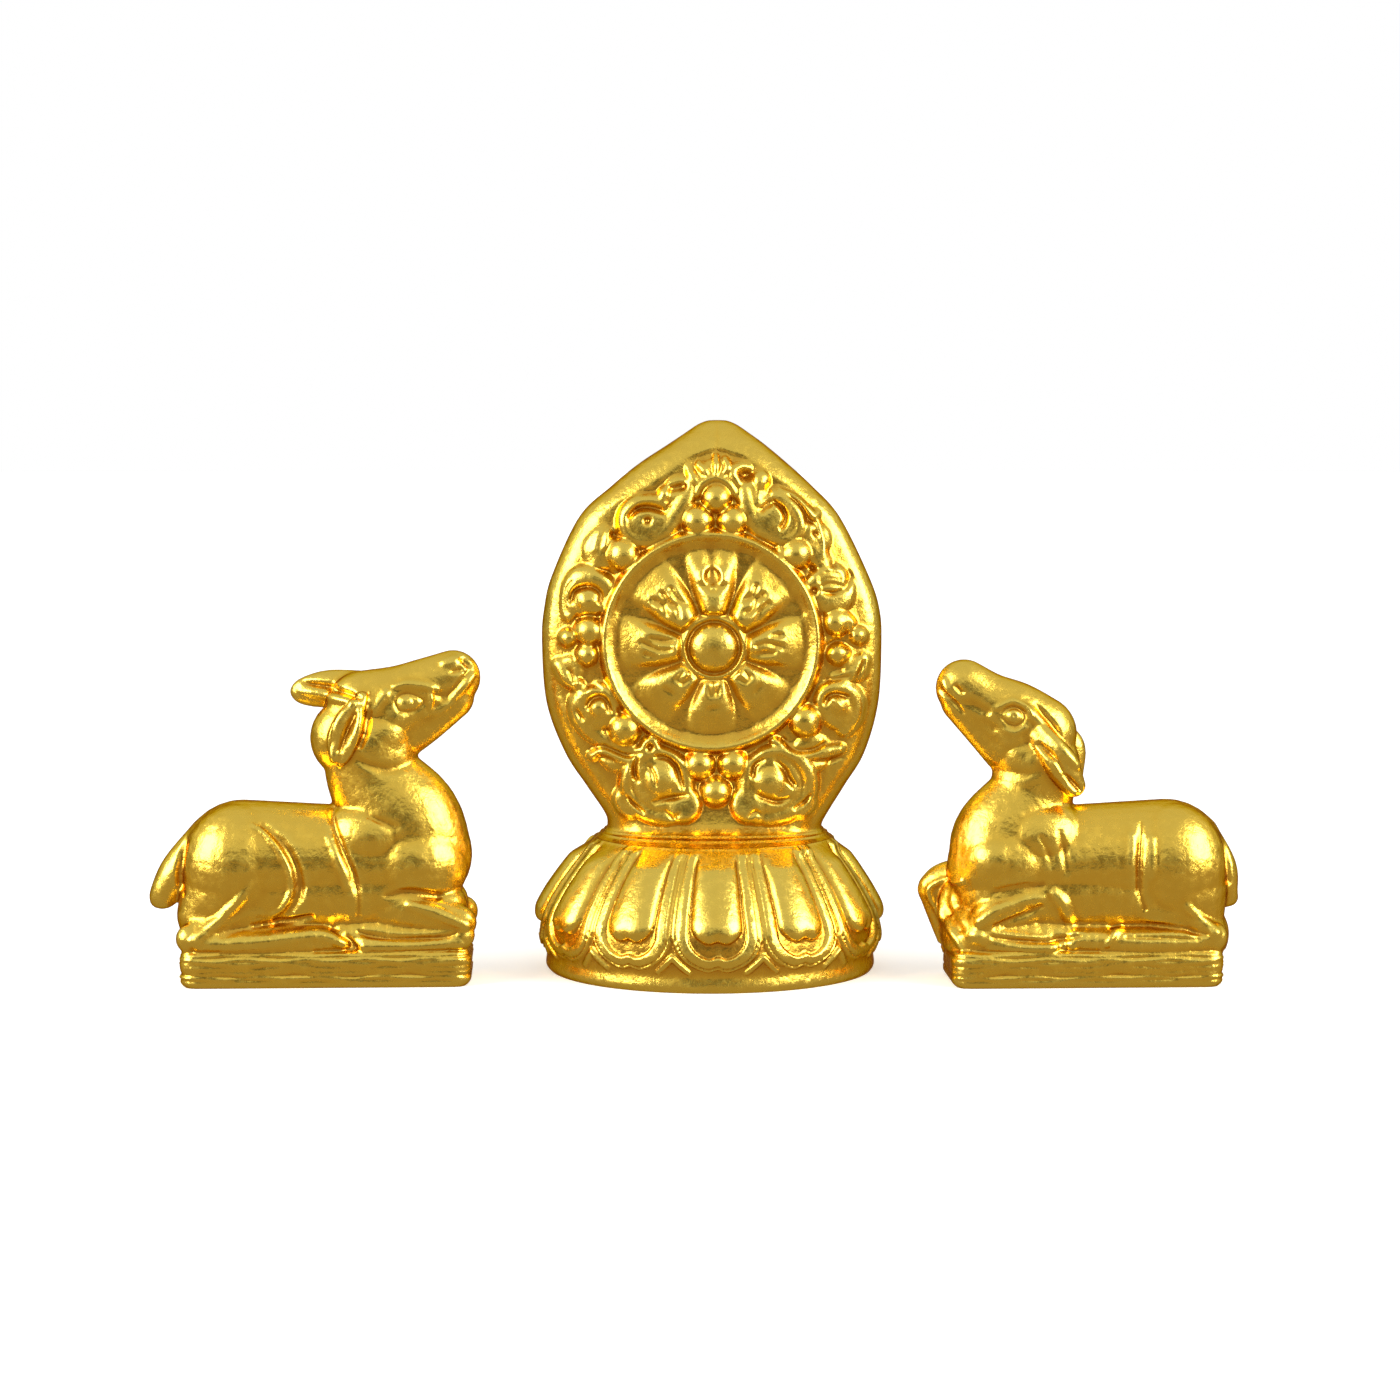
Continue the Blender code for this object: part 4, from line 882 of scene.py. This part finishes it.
LEFT_TOUCHES = (
    # Front fold of the thigh, with the hollow before it
    (RAISE, ((-9.0, 21.2, 0.5, 0.15), (-7.2, 20.2, 0.6, 0.35), (-5.3, 18.0, 0.6, 0.4),
             (-4.1, 15.5, 0.6, 0.4), (-4.0, 12.8, 0.6, 0.4), (-5.0, 10.8, 0.6, 0.3),
             (-6.6, 9.6, 0.5, 0.15))),
    (CUT, ((-7.6, 21.3, 0.7, 0.2), (-4.6, 18.6, 0.9, 0.5), (-3.1, 15.5, 1.0, 0.55), (-2.9, 12.6, 1.0, 0.55),
           (-4.2, 10.2, 0.9, 0.45), (-6.0, 8.8, 0.7, 0.3))),
    # Hind shank, foot and hoof
    (RAISE, ((-16.6, 6.4, 0.9, 0.3), (-13.6, 8.7, 1.2, 0.6), (-10.6, 11.7, 1.0, 0.5),
             (-9.4, 13.2, 0.8, 0.1))),
    (CUT, ((-12.6, 7.2, 1.0, 0.2), (-9.8, 8.8, 1.3, 0.35), (-7.4, 9.2, 1.1, 0.2))),
    (RAISE, ((-15.5, 5.8, 1.2, 0.3), (-8.0, 6.4, 1.3, 0.35), (-1.0, 7.4, 1.1, 0.4), (3.0, 5.9, 0.8, 0.45))),
    (CUT, ((-9.0, 8.2, 0.5, 0.2), (-5.0, 8.7, 0.6, 0.5), (-1.5, 9.4, 0.6, 0.4))),
    (CUT, ((1.2, 8.0, 0.5, 0.3), (3.2, 6.8, 0.5, 0.4), (4.2, 5.4, 0.5, 0.3))),
    # Foreleg: hollow above it, its top edge, the fold and the shin below
    (CUT, ((8.4, 12.2, 0.8, 0.3), (11.5, 12.6, 0.9, 0.45), (14.8, 12.0, 0.8, 0.35))),
    (RAISE, ((11.2, 11.0, 0.8, 0.3), (14.5, 10.0, 1.1, 0.55), (18.4, 8.3, 1.0, 0.5))),
    (CUT, ((4.6, 7.4, 0.4, 0.2), (6.5, 7.0, 0.55, 0.55), (11.0, 6.7, 0.6, 0.65), (15.4, 6.8, 0.5, 0.5),
           (17.2, 7.3, 0.4, 0.2))),
    (RAISE, ((5.5, 5.6, 0.9, 0.3), (11.0, 5.5, 1.0, 0.4), (17.5, 5.7, 1.1, 0.4))),
    # Back of the shoulder, and where the neck meets it
    (CUT, ((1.2, 22.4, 0.5, 0.2), (1.7, 20.6, 0.6, 0.4), (3.0, 17.6, 0.7, 0.5), (4.2, 14.6, 0.7, 0.5),
           (4.7, 11.6, 0.6, 0.4), (4.6, 9.4, 0.5, 0.25))),
    (RAISE, ((0.9, 19.6, 0.7, 0.2), (2.2, 16.6, 0.9, 0.4), (3.2, 13.6, 0.8, 0.25))),
    (CUT, ((5.8, 22.5, 0.5, 0.15), (7.4, 21.8, 0.6, 0.3), (9.4, 21.0, 0.9, 0.12))),
    # Throat
    (CUT, ((4.9, 29.6, 0.9, 0.2), (6.4, 28.9, 1.0, 0.35), (8.8, 28.3, 1.1, 0.25), (11.0, 28.6, 0.8, 0.1))),
    # Cheek and the ridge beside the ear
    (RAISE, ((9.5, 33.8, 2.8, 0.5),)),
    (RAISE, ((6.8, 36.0, 0.9, 0.3), (8.2, 38.0, 0.9, 0.35))),
    # Hanging ear: groove before it, two rims and the hollow between them
    (CUT, ((6.2, 38.0, 0.4, 0.2), (6.1, 36.3, 0.5, 0.5), (5.9, 33.5, 0.55, 0.55), (5.0, 31.2, 0.5, 0.3))),
    (RAISE, ((4.6, 37.0, 0.7, 0.4), (2.6, 35.2, 0.7, 0.5), (1.2, 32.2, 0.7, 0.45), (1.6, 29.6, 0.7, 0.4))),
    (RAISE, ((5.0, 36.2, 0.6, 0.4), (4.7, 33.6, 0.7, 0.5), (3.7, 30.8, 0.7, 0.5), (2.5, 29.0, 0.6, 0.4))),
    (CUT, ((4.3, 35.4, 0.7, 0.5), (3.3, 33.4, 0.95, 1.1), (2.4, 30.9, 0.6, 0.6))),
    # Ear laid back
    (CUT, ((-2.6, 39.1, 0.4, 0.3), (-1.0, 38.9, 0.55, 0.7), (2.0, 38.4, 0.6, 0.7), (4.9, 37.6, 0.5, 0.4))),
    (RAISE, ((-3.0, 38.0, 0.6, 0.2), (0.0, 37.6, 0.8, 0.4), (4.0, 36.9, 0.6, 0.3))),
    # Eye, its lids and brow, and the hollow before it
    (RAISE, ((9.4, 38.9, 0.6, 0.2), (11.0, 39.2, 0.7, 0.4), (13.6, 38.9, 0.7, 0.4),
             (15.0, 38.4, 0.5, 0.2))),
    (CUT, ((9.5, 36.9, 0.4, 0.25), (10.1, 37.8, 0.4, 0.3), (11.6, 37.9, 0.4, 0.3), (13.1, 37.0, 0.4, 0.25),
           (12.4, 36.0, 0.4, 0.25), (11.0, 35.6, 0.4, 0.25), (9.9, 35.9, 0.4, 0.25),
           (9.5, 36.9, 0.4, 0.25))),
    (DOME, ((10.9, 36.7, 0.85, 0.25),)),
    (RAISE, ((13.9, 38.4, 0.5, 0.2), (14.1, 37.2, 0.5, 0.4), (13.9, 36.0, 0.4, 0.25))),
    (CUT, ((14.8, 37.9, 0.9, 0.25), (15.6, 37.7, 1.1, 0.4), (16.3, 38.3, 0.8, 0.2))),
    # Nostril, mouth and lip
    (RAISE, ((15.8, 41.9, 0.9, 0.25), (17.0, 42.2, 0.9, 0.3))),
    (CUT, ((18.2, 42.2, 0.5, 0.5), (18.9, 41.5, 0.5, 0.5))),
    (CUT, ((16.8, 40.8, 0.45, 0.35), (17.8, 41.0, 0.45, 0.4))),
    (CUT, ((19.0, 40.9, 0.4, 0.2), (17.9, 39.6, 0.5, 0.3), (16.9, 38.4, 0.5, 0.25),
           (16.2, 37.5, 0.4, 0.1))),
    (RAISE, ((19.4, 40.2, 0.6, 0.3), (18.4, 38.9, 0.7, 0.4), (17.0, 37.4, 0.6, 0.3))),
    (RAISE, ((16.7, 36.7, 0.6, 0.2), (15.1, 35.8, 0.8, 0.3), (13.4, 35.2, 0.7, 0.2))),
    # Edge of the tail
    (CUT, ((-17.6, 19.0, 0.5, 0.2), (-18.2, 17.0, 0.7, 0.5), (-18.6, 14.0, 0.7, 0.5),
           (-18.0, 12.2, 0.5, 0.2))),
)
left_mesh = deer_mesh(
    LEFT_PLINTH_ENDS, LEFT_CHEST, left_deer_lumps, LEFT_TOUCHES, 1, (LEFT_DEER_X, DEER_Y, 0.0)
)
deer_left = gilded("gilded_deer_left", left_mesh)
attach(deer_left, "root")
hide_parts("deer_left")


# The deer on the right.
# Its companion casting, facing the other way: head lifted towards the wheel, both ears laid back
# along the neck and the far foreleg raised in front of the chest.
RIGHT_DEER_X = 50.7
RIGHT_PLINTH_ENDS = (-17.6, 18.0)
RIGHT_CHEST = 17.4
RIGHT_KNEE = 15.6
RIGHT_TAIL_TIP = -20.4


def raised_foreleg(bm):
    """The far foreleg, lifted in front of the chest and joined to it."""
    limb(bm, ((13.5, 3.0, 13.6, 3.0), (17.6, 3.6, 12.8, 2.6), (19.0, 3.8, 11.8, 2.4)), 0.8)
    limb(bm, ((19.0, 3.8, 11.4, 2.2), (18.2, 3.8, 8.0, 1.7), (17.0, 3.8, 4.6, 1.5)), 0.8)
    ball(bm, (15.4, 1.2, 9.6), (3.6, 3.2, 4.8))


def right_deer_lumps(bm):
    """Neck, head, jaw and ears, then the forelegs and the tail."""
    limb(bm, ((10.4, 0, 16.6, 7.3), (10.0, 0, 18.9, 7.2), (7.2, 0, 24.2, 5.6), (6.4, 0, 28.6, 5.7)), 0.8)
    limb(bm, ((15.9, 0, 38.6, 3.7), (12.8, 0, 36.5, 4.1), (9.4, 0, 34.4, 5.0), (6.2, 0, 32.5, 5.1)), 0.75)
    limb(bm, ((15.7, 0, 37.1, 3.3), (12.5, 0, 33.7, 3.5), (9.8, 0, 31.1, 3.9)), 0.73)
    limb(bm, ((6.4, -3.6, 32.4, 1.4), (4.0, -4.7, 29.4, 2.2), (2.2, -4.4, 26.3, 1.6)), 0.75)
    limb(bm, ((4.0, 3.2, 32.8, 1.6), (1.6, 3.6, 30.6, 2.1), (1.3, 3.6, 27.0, 1.7)), 0.75)
    folded_foreleg(bm, -1, RIGHT_KNEE)
    raised_foreleg(bm)
    tail(bm, RIGHT_TAIL_TIP)


RIGHT_TOUCHES = (
    # Front fold of the thigh
    (CUT, ((-6.6, 21.4, 0.5, 0.2), (-6.3, 19.0, 0.6, 0.5), (-6.1, 16.0, 0.7, 0.6), (-6.2, 13.0, 0.7, 0.5),
           (-6.9, 10.4, 0.6, 0.3))),
    (RAISE, ((-5.2, 19.8, 0.8, 0.2), (-4.9, 16.2, 0.8, 0.2))),
    (RAISE, ((-7.7, 19.4, 0.9, 0.25), (-7.6, 15.0, 0.9, 0.25))),
    # Hind shank, foot and hoof
    (RAISE, ((-12.3, 10.8, 0.7, 0.2), (-14.0, 9.2, 1.0, 0.5), (-16.0, 7.4, 1.0, 0.5))),
    (CUT, ((-9.6, 9.0, 0.8, 0.2), (-12.0, 8.6, 0.9, 0.35), (-13.8, 7.0, 0.8, 0.2))),
    (CUT, ((-2.6, 8.1, 0.5, 0.3), (-6.0, 8.3, 0.6, 0.5), (-11.0, 8.0, 0.6, 0.5), (-14.9, 7.2, 0.5, 0.3))),
    (CUT, ((-4.5, 6.9, 0.35, 0.2), (-9.0, 6.8, 0.4, 0.3), (-14.0, 6.5, 0.35, 0.2))),
    (RAISE, ((-4.0, 8.0, 0.6, 0.3), (-2.8, 7.2, 0.7, 0.4), (-2.0, 6.0, 0.6, 0.35))),
    # Foreleg: elbow, top edge, the dark side below it, knee, fold
    (RAISE, ((4.9, 12.6, 0.8, 0.3), (3.8, 11.4, 1.2, 0.6), (2.9, 9.6, 1.0, 0.5), (2.4, 8.2, 0.8, 0.2))),
    (CUT, ((6.4, 13.6, 0.8, 0.2), (9.4, 13.4, 0.9, 0.35), (12.4, 12.8, 0.8, 0.2))),
    (RAISE, ((6.5, 11.9, 0.8, 0.25), (9.0, 11.5, 1.1, 0.5), (12.0, 10.6, 1.1, 0.5), (14.4, 9.0, 1.0, 0.5))),
    (CUT, ((12.4, 8.4, 0.6, 0.3), (9.6, 9.4, 0.7, 0.45), (6.4, 10.8, 0.6, 0.3))),
    (RAISE, ((15.0, 7.2, 1.5, 0.45),)),
    (CUT, ((12.8, 7.0, 0.5, 0.3), (9.0, 6.5, 0.6, 0.6), (5.0, 6.5, 0.6, 0.55), (1.6, 7.1, 0.5, 0.3))),
    (RAISE, ((13.0, 5.5, 0.9, 0.3), (8.0, 5.3, 1.0, 0.35), (2.5, 5.6, 0.9, 0.3))),
    # Raised far foreleg: its edge and the hollow inside it
    (RAISE_NEAR, ((16.5, 13.8, 0.5, 0.3), (19.0, 12.9, 0.6, 0.4), (20.1, 11.7, 0.6, 0.4),
                  (19.2, 9.7, 0.6, 0.4), (17.6, 7.0, 0.6, 0.35), (16.5, 5.2, 0.5, 0.3))),
    (CUT_NEAR, ((17.9, 12.0, 0.7, 0.2), (18.2, 10.4, 0.8, 0.4), (16.9, 7.8, 0.9, 0.4))),
    # Chest, and folds where neck and shoulder meet
    (RAISE, ((13.4, 17.4, 3.4, 0.5),)),
    (CUT, ((6.6, 19.8, 0.6, 0.15), (5.6, 17.8, 0.7, 0.25), (5.2, 16.4, 0.6, 0.1))),
    (CUT, ((4.2, 20.4, 0.6, 0.15), (3.5, 18.0, 0.8, 0.3), (3.2, 15.4, 0.8, 0.15))),
    # Throat
    (CUT, ((13.0, 28.6, 0.9, 0.15), (11.0, 28.0, 1.1, 0.3), (8.6, 27.8, 1.1, 0.25), (6.6, 28.2, 0.8, 0.1))),
    # Cheek
    (RAISE, ((10.4, 31.3, 2.6, 0.45),)),
    # Brow running back into the ear, and the groove behind it
    (RAISE, ((8.4, 36.6, 0.6, 0.2), (7.4, 35.4, 0.9, 0.4), (5.2, 32.7, 1.0, 0.5), (3.4, 30.6, 1.0, 0.45),
             (1.9, 29.0, 0.8, 0.3))),
    (CUT, ((6.9, 36.6, 0.5, 0.2), (6.1, 35.6, 0.6, 0.45), (4.6, 33.8, 0.6, 0.45), (3.8, 32.6, 0.5, 0.2))),
    # Opening and lower edge of the ear, and the slit at its tip
    (CUT, ((6.7, 31.6, 0.6, 0.5), (5.7, 30.7, 0.7, 0.8), (4.7, 29.7, 0.6, 0.5), (3.9, 28.4, 0.5, 0.4))),
    (CUT, ((3.7, 27.9, 0.45, 0.4), (2.7, 27.0, 0.5, 0.7), (1.4, 25.8, 0.4, 0.5))),
    (RAISE, ((3.4, 26.4, 0.6, 0.3), (2.2, 25.5, 0.6, 0.4))),
    # Eye with its lids
    (RAISE, ((11.9, 36.3, 0.5, 0.15), (9.9, 37.1, 0.5, 0.3), (8.1, 36.1, 0.5, 0.3), (7.7, 34.9, 0.5, 0.2))),
    (RAISE, ((11.0, 33.4, 0.5, 0.12), (9.6, 33.1, 0.5, 0.25), (8.4, 33.7, 0.5, 0.2))),
    (CUT, ((11.4, 35.6, 0.35, 0.25), (10.6, 36.2, 0.38, 0.3), (9.5, 36.3, 0.38, 0.3), (8.7, 35.7, 0.38, 0.3),
           (8.6, 34.7, 0.35, 0.25), (9.4, 34.0, 0.38, 0.3), (10.6, 34.2, 0.35, 0.25),
           (11.4, 35.0, 0.35, 0.25))),
    (DOME, ((9.9, 35.2, 0.8, 0.35),)),
    (CUT, ((9.8, 35.2, 0.32, 0.35),)),
    # Hollows of the cheekbone before the eye
    (CUT, ((16.6, 37.0, 0.9, 0.2), (15.0, 36.7, 1.1, 0.35), (13.4, 35.8, 1.0, 0.3))),
    (CUT, ((13.6, 34.6, 0.8, 0.2), (12.4, 33.7, 0.9, 0.25))),
    # Nostril, lip and mouth
    (CUT, ((17.2, 38.9, 0.5, 0.45), (16.5, 38.2, 0.5, 0.45))),
    (RAISE, ((18.7, 39.6, 0.7, 0.3), (18.3, 38.5, 0.6, 0.3))),
    (CUT, ((19.2, 38.5, 0.4, 0.3), (18.2, 37.5, 0.45, 0.5), (17.0, 36.4, 0.45, 0.4),
           (16.2, 35.5, 0.4, 0.2))),
    # Edge of the tail
    (CUT, ((-17.7, 19.4, 0.5, 0.2), (-18.3, 16.5, 0.55, 0.45), (-18.6, 13.4, 0.5, 0.3))),
)
right_mesh = deer_mesh(
    RIGHT_PLINTH_ENDS, RIGHT_CHEST, right_deer_lumps, RIGHT_TOUCHES, -1, (RIGHT_DEER_X, DEER_Y, 0.0)
)
deer_right = gilded("gilded_deer_right", right_mesh)
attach(deer_right, "root")
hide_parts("deer_right")


# The studio: a white floor that runs out to a white horizon, two soft lights far out at the sides and
# a plain grey room around. The floor glows with painted light, more strongly further out, and in the
# gold's mirror it shows a painted reflection: a warm brown glow like a table.
bm = bmesh.new()
bmesh.ops.create_circle(bm, cap_ends=True, segments=96, radius=4.0)
floor_mesh = as_mesh(bm, "studio_floor")
floor = bpy.data.objects.new("studio_floor", floor_mesh)
bpy.context.scene.collection.objects.link(floor)
WHITE = linear("#FFFFFF")
white_floor_with_painted_light = bpy.data.materials.new("matt_white_floor_with_painted_light")
white_floor_with_painted_light.use_nodes = True
tree = white_floor_with_painted_light.node_tree
glowing_card = tree.nodes["Principled BSDF"]
glowing_card.inputs["Base Color"].default_value = linear("#F4F4F2")
glowing_card.inputs["Roughness"].default_value = 0.9
glowing_card.inputs["Specular IOR Level"].default_value = 0.1
# Painted light: the floor glows white, at 0.45 strength near the middle, rising to full strength 1.2 m out
floor_place = add_node(tree, "ShaderNodeTexCoord").outputs["Object"]
reach_out = add_node(tree, "ShaderNodeVectorMath", {"operation": "LENGTH"}, {0: floor_place})
glow = add_node(
    tree, "ShaderNodeMapRange", {"interpolation_type": "SMOOTHSTEP"}, {"Value": reach_out.outputs["Value"]},
    **{"From Min": 0.05, "From Max": 1.2, "To Min": 0.45, "To Max": 1.0},
)
glowing_card.inputs["Emission Color"].default_value = WHITE
tree.links.new(glow.outputs["Result"], glowing_card.inputs["Emission Strength"])
# Painted reflection: glossy rays, and so the gold, see the floor as a warm brown glow instead of the white
# floor
painted_floor_reflection = add_node(tree, "ShaderNodeEmission", Strength=1.0)
painted_floor_reflection.inputs["Color"].default_value = linear("#A49376")
ray = add_node(tree, "ShaderNodeLightPath")
either = add_node(tree, "ShaderNodeMixShader", links={0: ray.outputs["Is Glossy Ray"], 1: glowing_card.outputs[0]})
tree.links.new(painted_floor_reflection.outputs[0], either.inputs[2])
tree.links.new(either.outputs[0], tree.nodes["Material Output"].inputs["Surface"])
floor_mesh.materials.append(white_floor_with_painted_light)

world = bpy.data.worlds.new("grey_room")
bpy.context.scene.world = world
world.use_nodes = True
tree = world.node_tree
room = tree.nodes["Background"]
way = add_node(tree, "ShaderNodeTexCoord").outputs["Generated"]
parts = add_node(tree, "ShaderNodeSeparateXYZ", links={"Vector": way})
ceiling = add_node(tree, "ShaderNodeValToRGB", links={"Fac": parts.outputs["Z"]})
ceiling.color_ramp.elements[0].position = 0.0
ceiling.color_ramp.elements[0].color = linear("#8E8779")
ceiling.color_ramp.elements[1].position = 0.35
ceiling.color_ramp.elements[1].color = linear("#CBCBCB")
# The dark camera in front
toward = add_node(tree, "ShaderNodeMath", {"operation": "MULTIPLY"}, {0: parts.outputs["Y"]})
toward.inputs[1].default_value = -1.0
lens_dark = add_node(
    tree, "ShaderNodeMapRange", {"interpolation_type": "SMOOTHSTEP"}, {"Value": toward.outputs[0]},
    **{"From Min": 0.9, "From Max": 0.99, "To Min": 1.0, "To Max": 0.25},
)
dimmed = add_node(
    tree, "ShaderNodeVectorMath", {"operation": "SCALE"},
    {0: ceiling.outputs["Color"], "Scale": lens_dark.outputs[0]},
)
ray = add_node(tree, "ShaderNodeLightPath")
seen = add_node(tree, "ShaderNodeMixRGB", links={0: ray.outputs["Is Camera Ray"], 1: dimmed.outputs[0]})
seen.inputs[2].default_value = WHITE
tree.links.new(seen.outputs["Color"], room.inputs["Color"])

for name, side in (("soft_light_left", -1), ("soft_light_right", 1)):
    lamp = bpy.data.lights.new(name, "AREA")
    lamp.shape = "RECTANGLE"
    lamp.size = 0.44
    lamp.size_y = 0.42
    lamp.energy = 3.8
    light = bpy.data.objects.new(name, lamp)
    light.location = (0.54 * side, -0.28, 0.27)
    aim = Vector((0.0, 0.0, 0.03)) - light.location
    light.rotation_euler = aim.to_track_quat("-Z", "Y").to_euler()
    bpy.context.scene.collection.objects.link(light)

lens = bpy.data.cameras.new("camera")
lens.lens = 85.0
lens.sensor_width = 36.0
lens.clip_start = 0.01
lens.clip_end = 20.0
camera = bpy.data.objects.new("camera", lens)
camera.location = (0.00065, -0.438, 0.0733)
camera.rotation_euler = (math.radians(85.1), 0.0, 0.0)
bpy.context.scene.collection.objects.link(camera)
bpy.context.scene.camera = camera
bpy.context.scene.view_settings.view_transform = "Standard"
